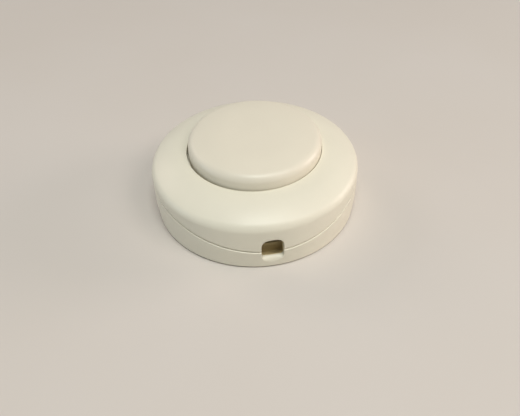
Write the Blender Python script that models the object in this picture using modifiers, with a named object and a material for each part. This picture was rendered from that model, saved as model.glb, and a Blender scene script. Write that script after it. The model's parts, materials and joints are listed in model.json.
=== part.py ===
"""A round foot switch for a lamp cord, with its rotary ratchet mechanism, terminals and cord clamps.

Metres, +Z up. The switch stands on its base at z = 0, centred on the origin. The cord runs along Y: it
enters through the slot at -Y and leaves through the slot at +Y. One press of the button drives the plunger's
teeth into the rotor's teeth and turns the rotor on by one tooth, which opens or closes the live wire.
"""

import math

import bmesh
import bpy
from mathutils import Matrix, Vector

# Fits that several pieces share
GAP = 0.0003
BITE = 0.0005
OVERRUN = 0.0010
ROUND_STEPS = 64
MIDDLE_ROUND_STEPS = 32
SMALL_ROUND_STEPS = 16
SCREW_STEPS = 12
TOOL_TURN = math.radians(2.8)
SHARP_ANGLE = math.radians(35)
WELD_DISTANCE = GAP / 100
LEVEL_TOLERANCE = GAP / 10

# Housing: two shells that meet on a seam which dips to the cord slots
FOOT_DRAFT = 0.0005
FOOT_EDGE = 0.0005
FOOT_RING_WIDTH = 0.0017
UNDERSIDE_DEPTH = 0.0005
FLOOR_THICKNESS = 0.0020
COVER_WALL = 0.0020
SEAM_LOW = 0.0063
SEAM_RISE = 0.0060
SEAM_GAP = 0.0004
LIP_THICKNESS = 0.0009
LIP_HEIGHT = 0.0012
HEADROOM = 0.00105
SHOULDER_RADIUS = 0.0030
SHOULDER_STEPS = 6
CROWN_STEPS = 5
INNER_SHOULDER_STEPS = 3
INNER_CROWN_STEPS = 4
CROWN_OUTER_SLOPE = math.radians(32)
CROWN_INNER_SLOPE = math.radians(5)
HOLE_CLEARANCE = 0.00055
HOLE_EDGE = 0.0005

# Push button
BUTTON_PROUD = 0.00525
BUTTON_FILLET = 0.0024
BUTTON_FILLET_STEPS = 5
DOME_SLOPE = math.radians(5)
DOME_STEPS = 3
CAP_THICKNESS = 0.0020
SKIRT_WALL = 0.0016
FLANGE_REACH = 0.0010
FLANGE_THICKNESS = 0.0012
BUTTON_SIDE_PLAY = 0.00025
TRAVEL = 0.0045
RIB_COUNT = 6
RIB_THICKNESS = 0.0010
RIB_DEPTH = 0.0015

# Cord slots and the flared lip below each
SLOT_WIDTH = 0.0061
SLOT_HEIGHT = 0.0046
SLOT_FLOOR = 0.0054
SLOT_CORNER = 0.0013
SLOT_CORNER_STEPS = 4
FLARE_DEPTH = 0.0026
FLARE_DROP = 0.0033
FLARE_SIDE = 0.0006
FLARE_CORNER = 0.0012
FLARE_SWEEP = math.radians(70)
FLARE_STEPS = 4

# Mechanism, from the floor of the base upwards
STRIP_GROOVE = 0.0003
STRIP_THICKNESS = 0.0005
STRIP_WIDTH = 0.0032
STADIUM_STEPS = 8
PAD_RADIUS = 0.0012
PAD_HEIGHT = 0.0002
PAD_SETBACK = 0.0014
BRIDGE_THICKNESS = 0.0004
BRIDGE_ARMS = 4
BRIDGE_ARM_WIDTH = 0.0026
BRIDGE_TIP_STEPS = 6
BRIDGE_SETBACK = 0.0010
BRIDGE_DIMPLE = 0.0009
BRIDGE_LIFT = 0.0004
ROTOR_THICKNESS = 0.0019
ROTOR_CLEARANCE = 0.0006
HUB_RADIUS = 0.0026
TOOTH_COUNT = 8
TOOTH_STATIONS = 5
TOOTH_HEIGHT = 0.0026
TOOTH_WIDTH = 0.0033
TOOTH_MESH_GAP = 0.0006
TOOTH_ROOT_SHARE = 0.04
PIN_RADIUS = 0.0012
PIN_CHAMFER = 0.0003
DRUM_BORE_RADIUS = 0.0090
DRUM_WALL = 0.0012
DRUM_SPARE = 0.0003
LEDGE_HEIGHT = 0.0026
LEDGE_REACH = 0.0008
CROWN_CLEARANCE = 0.0004
CROWN_THICKNESS = 0.0015
KEY_WIDTH = 0.0020
KEY_REACH = 0.0010
KEY_CLEARANCE = 0.0003
KEY_STEP = 0.0002
STEM_RADIUS = 0.0034
SOCKET_WALL = 0.0014
SOCKET_DEPTH = 0.0040

# Return spring
SPRING_CLEARANCE = 0.00065
SPRING_WIRE = 0.0009
SPRING_TURNS = 6
SPRING_POINTS = 12
SPRING_END_PITCH = 0.00125
COLLAR_WALL = 0.0008
COLLAR_DEPTH = 0.0022

# Terminals
TERMINAL_CLEARANCE = 0.0015
TERMINAL_SPREAD = 0.0080
TERMINAL_WIDTH = 0.0055
TERMINAL_LENGTH = 0.0065
TERMINAL_HEIGHT = 0.0048
TERMINAL_EDGE = 0.0004
WIRE_BORE_RADIUS = 0.0012
WIRE_BORE_HEIGHT = 0.0018
LINK_STRAP_WIDTH = 0.0030
LINK_STRAP_HEIGHT = 0.0010
STRAP_CLEARANCE = 0.0008
POCKET_WALL = 0.0010
POCKET_HEIGHT = 0.0042

# Cord clamps
CLAMP_THICKNESS = 0.0020
CLAMP_WIDTH = 0.0044
CLAMP_MARGIN = 0.0008
CLAMP_WALL_GAP = 0.00034
CLAMP_SCREW_SPREAD = 0.0064
CLAMP_POST_RADIUS = 0.0025
RIDGE_HEIGHT = 0.0005
RIDGE_WIDTH = 0.0008
RIDGE_COUNT = 2
SADDLE_CLEARANCE = 0.0002

# Screws
SCREW_SHANK_RADIUS = 0.0012
SCREW_CLEARANCE = 0.0003
SCREW_HEAD_RADIUS = 0.0021
SCREW_HEAD_HEIGHT = 0.0013
SCREW_HEAD_EDGE = 0.0003
SCREW_TIP = 0.0008
DRIVE_WIDTH = 0.0006
DRIVE_DEPTH = 0.0006
TERMINAL_SCREW_LENGTH = 0.0022
CLAMP_SCREW_LENGTH = 0.0068
HOUSING_HEAD_RADIUS = 0.0028
HOUSING_HEAD_DEPTH = 0.0010
HOUSING_SCREW_LENGTH = 0.0110
HOUSING_POST_RADIUS = 0.0027
POST_CLEARANCE = 0.0005
BOSS_WALL = 0.0010
BOSS_HEIGHT = 0.0062

# Finishes
CREAM = (0.83, 0.80, 0.68)
BUTTON_CREAM = (0.80, 0.77, 0.66)
INNER_WHITE = (0.78, 0.77, 0.73)
BRASS = (0.71, 0.53, 0.24)
STEEL = (0.62, 0.62, 0.64)

# Radii that follow, from the drum in the middle out to the housing's wall
drum_outer_radius = DRUM_BORE_RADIUS + DRUM_WALL
spring_radius = (drum_outer_radius + SPRING_CLEARANCE + SPRING_WIRE / 2) / math.cos(math.pi / SPRING_POINTS)
spring_inner_radius = drum_outer_radius + SPRING_CLEARANCE
ledge_radius = spring_radius + SPRING_WIRE / 2 + LEDGE_REACH
terminal_distance = ledge_radius + TERMINAL_CLEARANCE + TERMINAL_WIDTH / 2
counterbore_radius = HOUSING_HEAD_RADIUS + GAP
boss_radius = counterbore_radius + BOSS_WALL
housing_screw_distance = terminal_distance + LINK_STRAP_WIDTH / 2 + STRAP_CLEARANCE + boss_radius
flange_radius = housing_screw_distance - HOUSING_POST_RADIUS - POST_CLEARANCE
hole_radius = flange_radius - FLANGE_REACH
button_radius = hole_radius - HOLE_CLEARANCE
skirt_inner_radius = button_radius - SKIRT_WALL
clamp_distance = flange_radius + CLAMP_MARGIN + CLAMP_WIDTH / 2
clamp_screw_radius = math.hypot(clamp_distance, CLAMP_SCREW_SPREAD)
base_inner_radius = clamp_screw_radius + CLAMP_WIDTH / 2 + CLAMP_WALL_GAP
lip_outer_radius = base_inner_radius + LIP_THICKNESS
cover_inner_radius = lip_outer_radius + GAP
housing_radius = cover_inner_radius + COVER_WALL
foot_radius = housing_radius - FOOT_DRAFT
underside_radius = foot_radius - FOOT_EDGE - FOOT_RING_WIDTH

rotor_radius = DRUM_BORE_RADIUS - ROTOR_CLEARANCE
crown_radius = DRUM_BORE_RADIUS - CROWN_CLEARANCE
tooth_outer_radius = rotor_radius - GAP
tooth_inner_radius = tooth_outer_radius - TOOTH_WIDTH
tooth_middle_radius = tooth_outer_radius - TOOTH_WIDTH / 2
bridge_reach = rotor_radius - BRIDGE_SETBACK
pad_circle = bridge_reach - PAD_SETBACK
pin_bore_radius = PIN_RADIUS + GAP
screw_bore_radius = SCREW_SHANK_RADIUS + SCREW_CLEARANCE

# Heights of the cord's way, its clamps and the cover over them
seam_high = SEAM_LOW + SEAM_RISE
draft_top = SEAM_LOW - SEAM_GAP
blank_top = seam_high + LIP_HEIGHT + OVERRUN
floor_top = FLOOR_THICKNESS
slot_top = SLOT_FLOOR + SLOT_HEIGHT
clamp_bottom = slot_top + GAP
clamp_top = clamp_bottom + CLAMP_THICKNESS
clamp_head_top = clamp_top + GAP + SCREW_HEAD_HEIGHT

shoulder_centre = housing_radius - SHOULDER_RADIUS
crown_outer_radius = shoulder_centre + SHOULDER_RADIUS * math.sin(CROWN_OUTER_SLOPE)
slope_change = math.sin(CROWN_OUTER_SLOPE) - math.sin(CROWN_INNER_SLOPE)
crown_bend = (crown_outer_radius - hole_radius) / slope_change
crown_centre = hole_radius - crown_bend * math.sin(CROWN_INNER_SLOPE)
head_offset = clamp_screw_radius + SCREW_HEAD_RADIUS - crown_centre
crown_centre_height = clamp_head_top + HEADROOM - math.sqrt((crown_bend - COVER_WALL) ** 2 - head_offset**2)
crown_edge_height = crown_centre_height + crown_bend * math.cos(CROWN_OUTER_SLOPE)
shoulder_start = crown_edge_height - SHOULDER_RADIUS * math.cos(CROWN_OUTER_SLOPE)
housing_height = crown_centre_height + crown_bend * math.cos(CROWN_INNER_SLOPE)

button_top = housing_height + BUTTON_PROUD
dome_edge_radius = button_radius - BUTTON_FILLET * (1 - math.sin(DOME_SLOPE))
dome_bend = dome_edge_radius / math.sin(DOME_SLOPE)
dome_rise = dome_bend * (1 - math.cos(DOME_SLOPE))
fillet_height = button_top - dome_rise - BUTTON_FILLET * math.cos(DOME_SLOPE)
cap_underside = button_top - dome_rise - CAP_THICKNESS

# Heights of the mechanism, terminals and bosses
groove_bottom = floor_top - STRIP_GROOVE
strip_bottom = groove_bottom + GAP
strip_top = strip_bottom + STRIP_THICKNESS
pad_top = strip_top + PAD_HEIGHT
bridge_bottom = pad_top + GAP + BRIDGE_LIFT
bridge_top = bridge_bottom + BRIDGE_THICKNESS
rotor_bottom = bridge_top + GAP
rotor_top = rotor_bottom + ROTOR_THICKNESS
boss_top = bridge_bottom - BITE
crown_tip = rotor_top + TOOTH_MESH_GAP + TRAVEL
crown_root = crown_tip + TOOTH_HEIGHT
crown_top = crown_root + CROWN_THICKNESS
drum_top = crown_root + DRUM_SPARE
pin_bottom = FLOOR_THICKNESS - UNDERSIDE_DEPTH
pin_top = crown_tip + TOOTH_HEIGHT / 2

ledge_top = floor_top + LEDGE_HEIGHT
spring_bottom = ledge_top + GAP
spring_top = cap_underside - GAP

terminal_bottom = strip_top + GAP
terminal_top = terminal_bottom + TERMINAL_HEIGHT
pocket_top = floor_top + POCKET_HEIGHT
strap_bottom = pocket_top + GAP

housing_head_bottom = UNDERSIDE_DEPTH + HOUSING_HEAD_DEPTH
housing_head_top = housing_head_bottom + SCREW_HEAD_HEIGHT
counterbore_top = housing_head_top + GAP
housing_boss_top = floor_top + BOSS_HEIGHT
post_bottom = housing_boss_top + GAP


def new_collection(name):
    """Adds a collection to the scene."""
    collection = bpy.data.collections.new(name)
    bpy.context.scene.collection.children.link(collection)
    return collection


def new_material(name, colour, roughness, metallic):
    """Makes a Principled material."""
    material = bpy.data.materials.new(name)
    material.use_nodes = True
    shader = material.node_tree.nodes["Principled BSDF"]
    shader.inputs["Base Color"].default_value = (*colour, 1)
    shader.inputs["Roughness"].default_value = roughness
    shader.inputs["Metallic"].default_value = metallic
    return material


def seam_height(azimuth):
    """The height of the base's rim: low at the cord slots, on the Y axis, and high at the sides."""
    return SEAM_LOW + SEAM_RISE * math.cos(azimuth) ** 2


def arc(centre, radius, start, end, steps):
    """Points (radius from the axis, height) on an arc, its angles measured up from +X."""
    points = []
    for index in range(steps + 1):
        angle = start + (end - start) * index / steps
        points.append((centre[0] + radius * math.cos(angle), centre[1] + radius * math.sin(angle)))
    return points


def link(name, data, collection, as_tool=False):
    """Puts data in the scene as an object, and marks it as a tool that other pieces are cut or joined with."""
    piece = bpy.data.objects.new(name, data)
    collection.objects.link(piece)
    if as_tool:
        piece.hide_render = True
        piece.display_type = "WIRE"
    return piece


def finish_mesh(mesh):
    """Welds a mesh, turns its faces outwards and shades it smooth with sharp edges."""
    work = bmesh.new()
    work.from_mesh(mesh)
    bmesh.ops.remove_doubles(work, verts=work.verts, dist=WELD_DISTANCE)
    bmesh.ops.recalc_face_normals(work, faces=work.faces)
    work.to_mesh(mesh)
    work.free()
    mesh.shade_smooth()
    mesh.set_sharp_from_angle(angle=SHARP_ANGLE)


def bake(piece):
    """Replaces an object's modifiers, or its curve, by the mesh they make."""
    bpy.context.view_layer.update()
    graph = bpy.context.evaluated_depsgraph_get()
    mesh = bpy.data.meshes.new_from_object(piece.evaluated_get(graph))
    finish_mesh(mesh)
    name = piece.name
    collection = piece.users_collection[0]
    as_tool = piece.hide_render
    place = piece.matrix_world.copy()
    bpy.data.objects.remove(piece)
    made = link(name, mesh, collection, as_tool)
    made.matrix_world = place
    return made


def turned(name, profile, collection, as_tool=False, closed=False, steps=ROUND_STEPS):
    """Turns a profile of (radius, height) points about Z. A closed profile makes a ring."""
    mesh = bpy.data.meshes.new(name)
    count = len(profile)
    edges = [(index, index + 1) for index in range(count - 1)]
    if closed:
        edges.append((count - 1, 0))
    mesh.from_pydata([(radius, 0, height) for radius, height in profile], edges, [])
    piece = link(name, mesh, collection, as_tool)
    screw = piece.modifiers.new("turn", "SCREW")
    screw.steps = steps
    screw.render_steps = steps
    screw.use_merge_vertices = True
    screw.merge_threshold = WELD_DISTANCE
    screw.use_smooth_shade = True
    return bake(piece)


def ring_tool(name, inner, outer, bottom, top, steps=MIDDLE_ROUND_STEPS):
    """A plain ring to cut or join with, turned a little so that its edges miss those of the shells."""
    profile = [(inner, top), (outer, top), (outer, bottom), (inner, bottom)]
    piece = turned(name, profile, tools, as_tool=True, closed=True, steps=steps)
    piece.data.transform(Matrix.Rotation(TOOL_TURN, 4, "Z"))
    return piece


def cylinder(name, radius, bottom, top, place, collection, as_tool=False, top_radius=None):
    """An upright cylinder or cone whose axis passes through place, an (x, y) pair."""
    work = bmesh.new()
    bmesh.ops.create_cone(
        work,
        cap_ends=True,
        segments=SMALL_ROUND_STEPS,
        radius1=radius,
        radius2=radius if top_radius is None else top_radius,
        depth=top - bottom,
    )
    bmesh.ops.translate(work, verts=work.verts, vec=(*place, (top + bottom) / 2))
    mesh = bpy.data.meshes.new(name)
    work.to_mesh(mesh)
    work.free()
    finish_mesh(mesh)
    return link(name, mesh, collection, as_tool)


def box(name, low, high, collection, as_tool=False, rounding=0, along=None, steps=1):
    """A box between two corners. With a rounding, its edges along one axis, or all of them, are rounded."""
    work = bmesh.new()
    bmesh.ops.create_cube(work, size=1)
    size = Vector(high) - Vector(low)
    middle = (Vector(high) + Vector(low)) / 2
    bmesh.ops.transform(work, matrix=Matrix.Translation(middle) @ Matrix.Diagonal((*size, 1)), verts=work.verts)
    if rounding:
        edges = list(work.edges)
        if along is not None:
            edges = [edge for edge in edges if abs((edge.verts[0].co - edge.verts[1].co)[along]) > rounding]
        bmesh.ops.bevel(work, geom=edges, offset=rounding, segments=steps, affect="EDGES", profile=0.5)
    mesh = bpy.data.meshes.new(name)
    work.to_mesh(mesh)
    work.free()
    finish_mesh(mesh)
    return link(name, mesh, collection, as_tool)


def plate(name, outline, bottom, top, collection, as_tool=False):
    """A flat outline of (x, y) points given a thickness."""
    curve = bpy.data.curves.new(name, "CURVE")
    curve.dimensions = "2D"
    curve.fill_mode = "BOTH"
    curve.extrude = (top - bottom) / 2
    line = curve.splines.new("POLY")
    line.points.add(len(outline) - 1)
    for point, (x, y) in zip(line.points, outline):
        point.co = (x, y, 0, 1)
    line.use_cyclic_u = True
    piece = link(name, curve, collection, as_tool)
    piece.location.z = (top + bottom) / 2
    made = bake(piece)
    made.data.transform(made.matrix_world)
    made.matrix_world = Matrix.Identity(4)
    return made


def stadium(start, end, half_width):
    """The outline of a strip with round ends about two points."""
    heading = math.atan2(end[1] - start[1], end[0] - start[0])
    quarter = math.pi / 2
    far = arc(end, half_width, heading - quarter, heading + quarter, STADIUM_STEPS)
    near = arc(start, half_width, heading + quarter, heading + 3 * quarter, STADIUM_STEPS)
    return far + near


def combine(piece, tool, operation):
    """Adds a Boolean with the EXACT solver."""
    modifier = piece.modifiers.new(tool.name, "BOOLEAN")
    modifier.operation = operation
    modifier.solver = "EXACT"
    modifier.object = tool


def join(piece, *tools):
    """Unites a piece with each tool."""
    for tool in tools:
        combine(piece, tool, "UNION")


def cut(piece, *tools):
    """Cuts each tool out of a piece."""
    for tool in tools:
        combine(piece, tool, "DIFFERENCE")


def give(piece, material, parent):
    """Gives a finished piece its material and the body that it belongs to."""
    piece.data.materials.clear()
    piece.data.materials.append(material)
    piece.parent = parent
    piece.matrix_parent_inverse = parent.matrix_world.inverted()


def move_ring(piece, level, height_at):
    """Moves every vertex that lies at one height to the height that height_at gives for its azimuth."""
    for vertex in piece.data.vertices:
        if abs(vertex.co.z - level) < LEVEL_TOLERANCE:
            vertex.co.z = height_at(math.atan2(vertex.co.y, vertex.co.x))
    work = bmesh.new()
    work.from_mesh(piece.data)
    bmesh.ops.triangulate(work, faces=work.faces)
    bmesh.ops.recalc_face_normals(work, faces=work.faces)
    work.to_mesh(piece.data)
    work.free()


def seam_tool(name, inner, low, high, moved, lift):
    """A ring whose face at the height called moved follows the seam, raised by lift."""
    piece = ring_tool(name, inner, housing_radius + OVERRUN, low, high, ROUND_STEPS)
    move_ring(piece, moved, lambda azimuth: seam_height(azimuth) + lift)
    return piece


def wall_radius(height):
    """The radius of the housing's outer wall, which has a draft below the seam."""
    share = min((height - FOOT_EDGE) / (draft_top - FOOT_EDGE), 1)
    return foot_radius + FOOT_DRAFT * share


def slot_outline(opening):
    """The slot's section (x, z) with rounded corners, opened at its sides and below by a share of the flare."""
    half = SLOT_WIDTH / 2 + FLARE_SIDE * opening
    bottom = SLOT_FLOOR - FLARE_DROP * opening
    low_corner = SLOT_CORNER + FLARE_CORNER * opening
    quarter = math.pi / 2
    corners = [
        (half - SLOT_CORNER, slot_top - SLOT_CORNER, SLOT_CORNER),
        (SLOT_CORNER - half, slot_top - SLOT_CORNER, SLOT_CORNER),
        (low_corner - half, bottom + low_corner, low_corner),
        (half - low_corner, bottom + low_corner, low_corner),
    ]
    outline = []
    for index, (x, z, radius) in enumerate(corners):
        outline += arc((x, z), radius, quarter * index, quarter * (index + 1), SLOT_CORNER_STEPS)
    return outline


def slot_tool(name, side):
    """The cord's way through the wall: a channel that flares outwards like a trumpet's mouth, with each ring
    bent round the housing's axis. side is -1 at the front and 1 at the rear."""
    stations = [(housing_radius - base_inner_radius + OVERRUN, 0)]
    for index in range(FLARE_STEPS + 1):
        angle = FLARE_SWEEP * index / FLARE_STEPS
        stations.append((FLARE_DEPTH * (1 - math.sin(angle)), 1 - math.cos(angle)))
    depth, opening = stations[-1]
    run = (depth + GAP) / (FLARE_DEPTH * math.cos(FLARE_SWEEP))
    stations.append((-GAP, opening + run * math.sin(FLARE_SWEEP)))
    work = bmesh.new()
    rings = []
    for depth, opening in stations:
        ring = []
        for x, z in slot_outline(opening):
            radius = wall_radius(z) - depth
            ring.append(work.verts.new((x, side * math.sqrt(radius**2 - x**2), z)))
        rings.append(ring)
    for near, far in zip(rings, rings[1:]):
        for index in range(len(near)):
            work.faces.new((near[index - 1], near[index], far[index], far[index - 1]))
    work.faces.new(rings[0])
    work.faces.new(rings[-1])
    bmesh.ops.triangulate(work, faces=work.faces)
    mesh = bpy.data.meshes.new(name)
    work.to_mesh(mesh)
    work.free()
    finish_mesh(mesh)
    return link(name, mesh, tools, as_tool=True)


def cover_outline(inset, crown_steps, shoulder_steps):
    """The cover's section from the hole's edge down to the skirt, moved inwards by inset."""
    bend = crown_bend - inset
    inner_slope = math.asin((hole_radius - crown_centre) / bend)
    crown = arc(
        (crown_centre, crown_centre_height),
        bend,
        math.pi / 2 - inner_slope,
        math.pi / 2 - CROWN_OUTER_SLOPE,
        crown_steps,
    )
    shoulder = arc(
        (shoulder_centre, shoulder_start),
        SHOULDER_RADIUS - inset,
        math.pi / 2 - CROWN_OUTER_SLOPE,
        0,
        shoulder_steps,
    )
    return crown + shoulder[1:] + [(housing_radius - inset, SEAM_LOW - OVERRUN)]


def cover_underside(radius):
    """The height of the cover's inner face at a radius under the crown."""
    bend = crown_bend - COVER_WALL
    return crown_centre_height + math.sqrt(bend**2 - (radius - crown_centre) ** 2)


def tooth_wave(azimuth):
    """The rise of the ratchet teeth: a long ramp, then a steep drop over the last station of each tooth."""
    share = (azimuth / math.tau * TOOTH_COUNT) % 1
    tip_share = (TOOTH_STATIONS - 1) / TOOTH_STATIONS
    if share <= tip_share:
        return TOOTH_HEIGHT * share / tip_share
    return TOOTH_HEIGHT * (1 - share) / (1 - tip_share)


def screw(name, place, seat, head_radius, length, upward, material, parent):
    """A screw with a rounded head and a crossed drive. Its head lies on the height called seat, and its
    shank runs down from there, or up when it is driven from below."""
    profile = [
        (0, SCREW_HEAD_HEIGHT),
        (head_radius - SCREW_HEAD_EDGE, SCREW_HEAD_HEIGHT),
        (head_radius, SCREW_HEAD_HEIGHT - SCREW_HEAD_EDGE),
        (head_radius, 0),
        (SCREW_SHANK_RADIUS, 0),
        (SCREW_SHANK_RADIUS, SCREW_TIP - length),
        (SCREW_SHANK_RADIUS / 2, -length),
        (0, -length),
    ]
    piece = turned(name, profile, parts, steps=SCREW_STEPS)
    reach = head_radius - SCREW_HEAD_EDGE * 2
    bottom = SCREW_HEAD_HEIGHT - DRIVE_DEPTH
    top = SCREW_HEAD_HEIGHT + OVERRUN
    for index, (half_x, half_y) in enumerate(((reach, DRIVE_WIDTH / 2), (DRIVE_WIDTH / 2, reach))):
        tool = box(name + "_drive_" + str(index), (-half_x, -half_y, bottom), (half_x, half_y, top), tools, True)
        cut(piece, tool)
    piece = bake(piece)
    turn = Matrix.Rotation(math.pi, 4, "X") if upward else Matrix.Identity(4)
    piece.data.transform(Matrix.Translation((*place, seat)) @ turn)
    give(piece, material, parent)
    return piece


def make_base_shell():
    """The lower moulding: floor, wall, lip, drum for the mechanism, pockets, clamp posts and screw bosses."""
    profile = [
        (0, floor_top),
        (base_inner_radius, floor_top),
        (base_inner_radius, blank_top),
        (housing_radius, blank_top),
        (housing_radius, draft_top),
        (foot_radius, FOOT_EDGE),
        (foot_radius - FOOT_EDGE, 0),
        (underside_radius, 0),
        (underside_radius - UNDERSIDE_DEPTH, UNDERSIDE_DEPTH),
        (0, UNDERSIDE_DEPTH),
    ]
    shell = turned("base_shell", profile, parts)
    root = floor_top - BITE
    join(
        shell,
        ring_tool("drum", DRUM_BORE_RADIUS, drum_outer_radius, root, drum_top),
        ring_tool("spring_ledge", DRUM_BORE_RADIUS + BITE, ledge_radius, root, ledge_top),
        cylinder("pin_boss", HUB_RADIUS, root, boss_top, (0, 0), tools, True),
    )
    for side in (-1, 1):
        join(shell, saddle(side, root))
        for across in (-1, 1):
            corner = f"{side}_{across}"
            post = (across * CLAMP_SCREW_SPREAD, side * clamp_distance)
            join(
                shell,
                pocket("pocket_" + corner, across, side, root),
                cylinder("clamp_post_" + corner, CLAMP_POST_RADIUS, root, slot_top, post, tools, True),
            )
    for across in (-1, 1):
        place = (across * housing_screw_distance, 0)
        join(shell, cylinder(f"housing_boss_{across}", boss_radius, root, housing_boss_top, place, tools, True))
    cut(
        shell,
        seam_tool("seam_above_wall", lip_outer_radius, 0, blank_top + OVERRUN, 0, 0),
        seam_tool("seam_above_lip", base_inner_radius - GAP, 0, blank_top + OVERRUN, 0, LIP_HEIGHT),
        cylinder("pin_hole", pin_bore_radius, pin_bottom, boss_top + OVERRUN, (0, 0), tools, True),
    )
    for side in (-1, 1):
        cut(shell, slot_tool(f"base_slot_{side}", side))
        cut(shell, strip_channel(f"strip_channel_{side}", side), key_slot(f"key_slot_{side}", side))
        for across in (-1, 1):
            post = (across * CLAMP_SCREW_SPREAD, side * clamp_distance)
            bottom = clamp_top - CLAMP_SCREW_LENGTH - GAP
            name = f"clamp_screw_hole_{side}_{across}"
            cut(shell, cylinder(name, screw_bore_radius, bottom, slot_top + OVERRUN, post, tools, True))
    for across in (-1, 1):
        place = (across * housing_screw_distance, 0)
        name = f"counterbore_{across}"
        cut(shell, cylinder(name, counterbore_radius, -OVERRUN, counterbore_top, place, tools, True))
        name = f"housing_screw_hole_{across}"
        top = housing_boss_top + OVERRUN
        cut(shell, cylinder(name, screw_bore_radius, counterbore_top - BITE, top, place, tools, True))
    return shell


def saddle(side, root):
    """The low rib that the cord lies on between the clamp's posts."""
    half = CLAMP_SCREW_SPREAD
    low = (-half, side * clamp_distance - CLAMP_WIDTH / 2 + GAP, root)
    high = (half, side * clamp_distance + CLAMP_WIDTH / 2 - GAP, SLOT_FLOOR - SADDLE_CLEARANCE)
    return box(f"saddle_{side}", low, high, tools, True)


def pocket(name, across, side, root):
    """The walls that stand round three sides of a terminal, open towards the drum."""
    inner = terminal_distance - TERMINAL_WIDTH / 2
    outer = terminal_distance + TERMINAL_WIDTH / 2 + GAP
    half = TERMINAL_LENGTH / 2 + GAP
    outline = [
        (inner, half),
        (outer, half),
        (outer, -half),
        (inner, -half),
        (inner, -half - POCKET_WALL),
        (outer + POCKET_WALL, -half - POCKET_WALL),
        (outer + POCKET_WALL, half + POCKET_WALL),
        (inner, half + POCKET_WALL),
    ]
    middle = side * TERMINAL_SPREAD
    placed = [(across * x, y + middle) for x, y in outline]
    return plate(name, placed, root, pocket_top, tools, True)


def strip_ends(side):
    """Where a contact strip starts, under its terminal, and where it ends, under the rotor."""
    start = (-terminal_distance, side * TERMINAL_SPREAD)
    pad = pad_circle / math.sqrt(2)
    return start, (-pad, side * pad)


def strip_channel(name, side):
    """The opening that a contact strip passes through, in the ledge and the drum."""
    start, end = strip_ends(side)
    outline = stadium(start, end, STRIP_WIDTH / 2 + GAP)
    return plate(name, outline, groove_bottom, bridge_top, tools, True)


def key_slot(name, side):
    """The upright slot in the drum that keeps the plunger from turning."""
    half = KEY_WIDTH / 2 + KEY_CLEARANCE
    near = side * (DRUM_BORE_RADIUS - OVERRUN)
    far = side * (drum_outer_radius + OVERRUN)
    bottom = crown_root - TRAVEL - KEY_CLEARANCE
    low = (min(near, far), -half, bottom)
    high = (max(near, far), half, drum_top + OVERRUN)
    return box(name, low, high, tools, True)


def make_top_cover():
    """The upper moulding: wall, rounded shoulder and rising crown round the button's hole, with two posts."""
    outer = cover_outline(0, CROWN_STEPS, SHOULDER_STEPS)
    inner = cover_outline(COVER_WALL, INNER_CROWN_STEPS, INNER_SHOULDER_STEPS)
    edge = [(hole_radius, outer[0][1] - HOLE_EDGE), (hole_radius + HOLE_EDGE, outer[0][1])]
    cover = turned("top_cover", edge + outer[1:] + inner[::-1], parts, closed=True)
    top = cover_underside(housing_screw_distance - HOUSING_POST_RADIUS)
    for across in (-1, 1):
        place = (across * housing_screw_distance, 0)
        post = cylinder(f"cover_post_{across}", HOUSING_POST_RADIUS, post_bottom, top, place, tools, True)
        join(cover, post)
    cut(cover, seam_tool("seam_below_cover", base_inner_radius, 0, blank_top, blank_top, SEAM_GAP))
    for side in (-1, 1):
        cut(cover, slot_tool(f"cover_slot_{side}", side))
    for across in (-1, 1):
        place = (across * housing_screw_distance, 0)
        depth = housing_head_top + HOUSING_SCREW_LENGTH + GAP
        name = f"post_hole_{across}"
        cut(cover, cylinder(name, screw_bore_radius, post_bottom - OVERRUN, depth, place, tools, True))
    return cover


def make_push_button():
    """The domed cap, with the flange that keeps it under the cover, the plunger's socket and its ribs."""
    flange_top = cover_underside(flange_radius) - GAP
    dome = arc((0, button_top - dome_bend), dome_bend, math.pi / 2, math.pi / 2 - DOME_SLOPE, DOME_STEPS)
    fillet = arc(
        (button_radius - BUTTON_FILLET, fillet_height),
        BUTTON_FILLET,
        math.pi / 2 - DOME_SLOPE,
        0,
        BUTTON_FILLET_STEPS,
    )
    skirt = [
        (button_radius, flange_top),
        (flange_radius, flange_top),
        (flange_radius, flange_top - FLANGE_THICKNESS),
        (skirt_inner_radius, flange_top - FLANGE_THICKNESS),
        (skirt_inner_radius, cap_underside),
        (0, cap_underside),
    ]
    cap = turned("push_button", dome + fillet[1:] + skirt, parts)
    cap.data.transform(Matrix.Translation((BUTTON_SIDE_PLAY, 0, 0)))
    root = cap_underside + BITE
    socket_inner = STEM_RADIUS + GAP
    collar_outer = spring_inner_radius - GAP
    join(
        cap,
        ring_tool("socket", socket_inner, socket_inner + SOCKET_WALL, cap_underside - SOCKET_DEPTH, root),
        ring_tool("collar", collar_outer - COLLAR_WALL, collar_outer, cap_underside - COLLAR_DEPTH, root),
    )
    inner = spring_radius + SPRING_WIRE
    for index in range(RIB_COUNT):
        low = (inner, -RIB_THICKNESS / 2, cap_underside - RIB_DEPTH)
        high = (skirt_inner_radius + BITE, RIB_THICKNESS / 2, root)
        rib = box(f"cap_rib_{index}", low, high, tools, True)
        rib.data.transform(Matrix.Rotation(math.tau * index / RIB_COUNT, 4, "Z"))
        join(cap, rib)
    return cap


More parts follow.
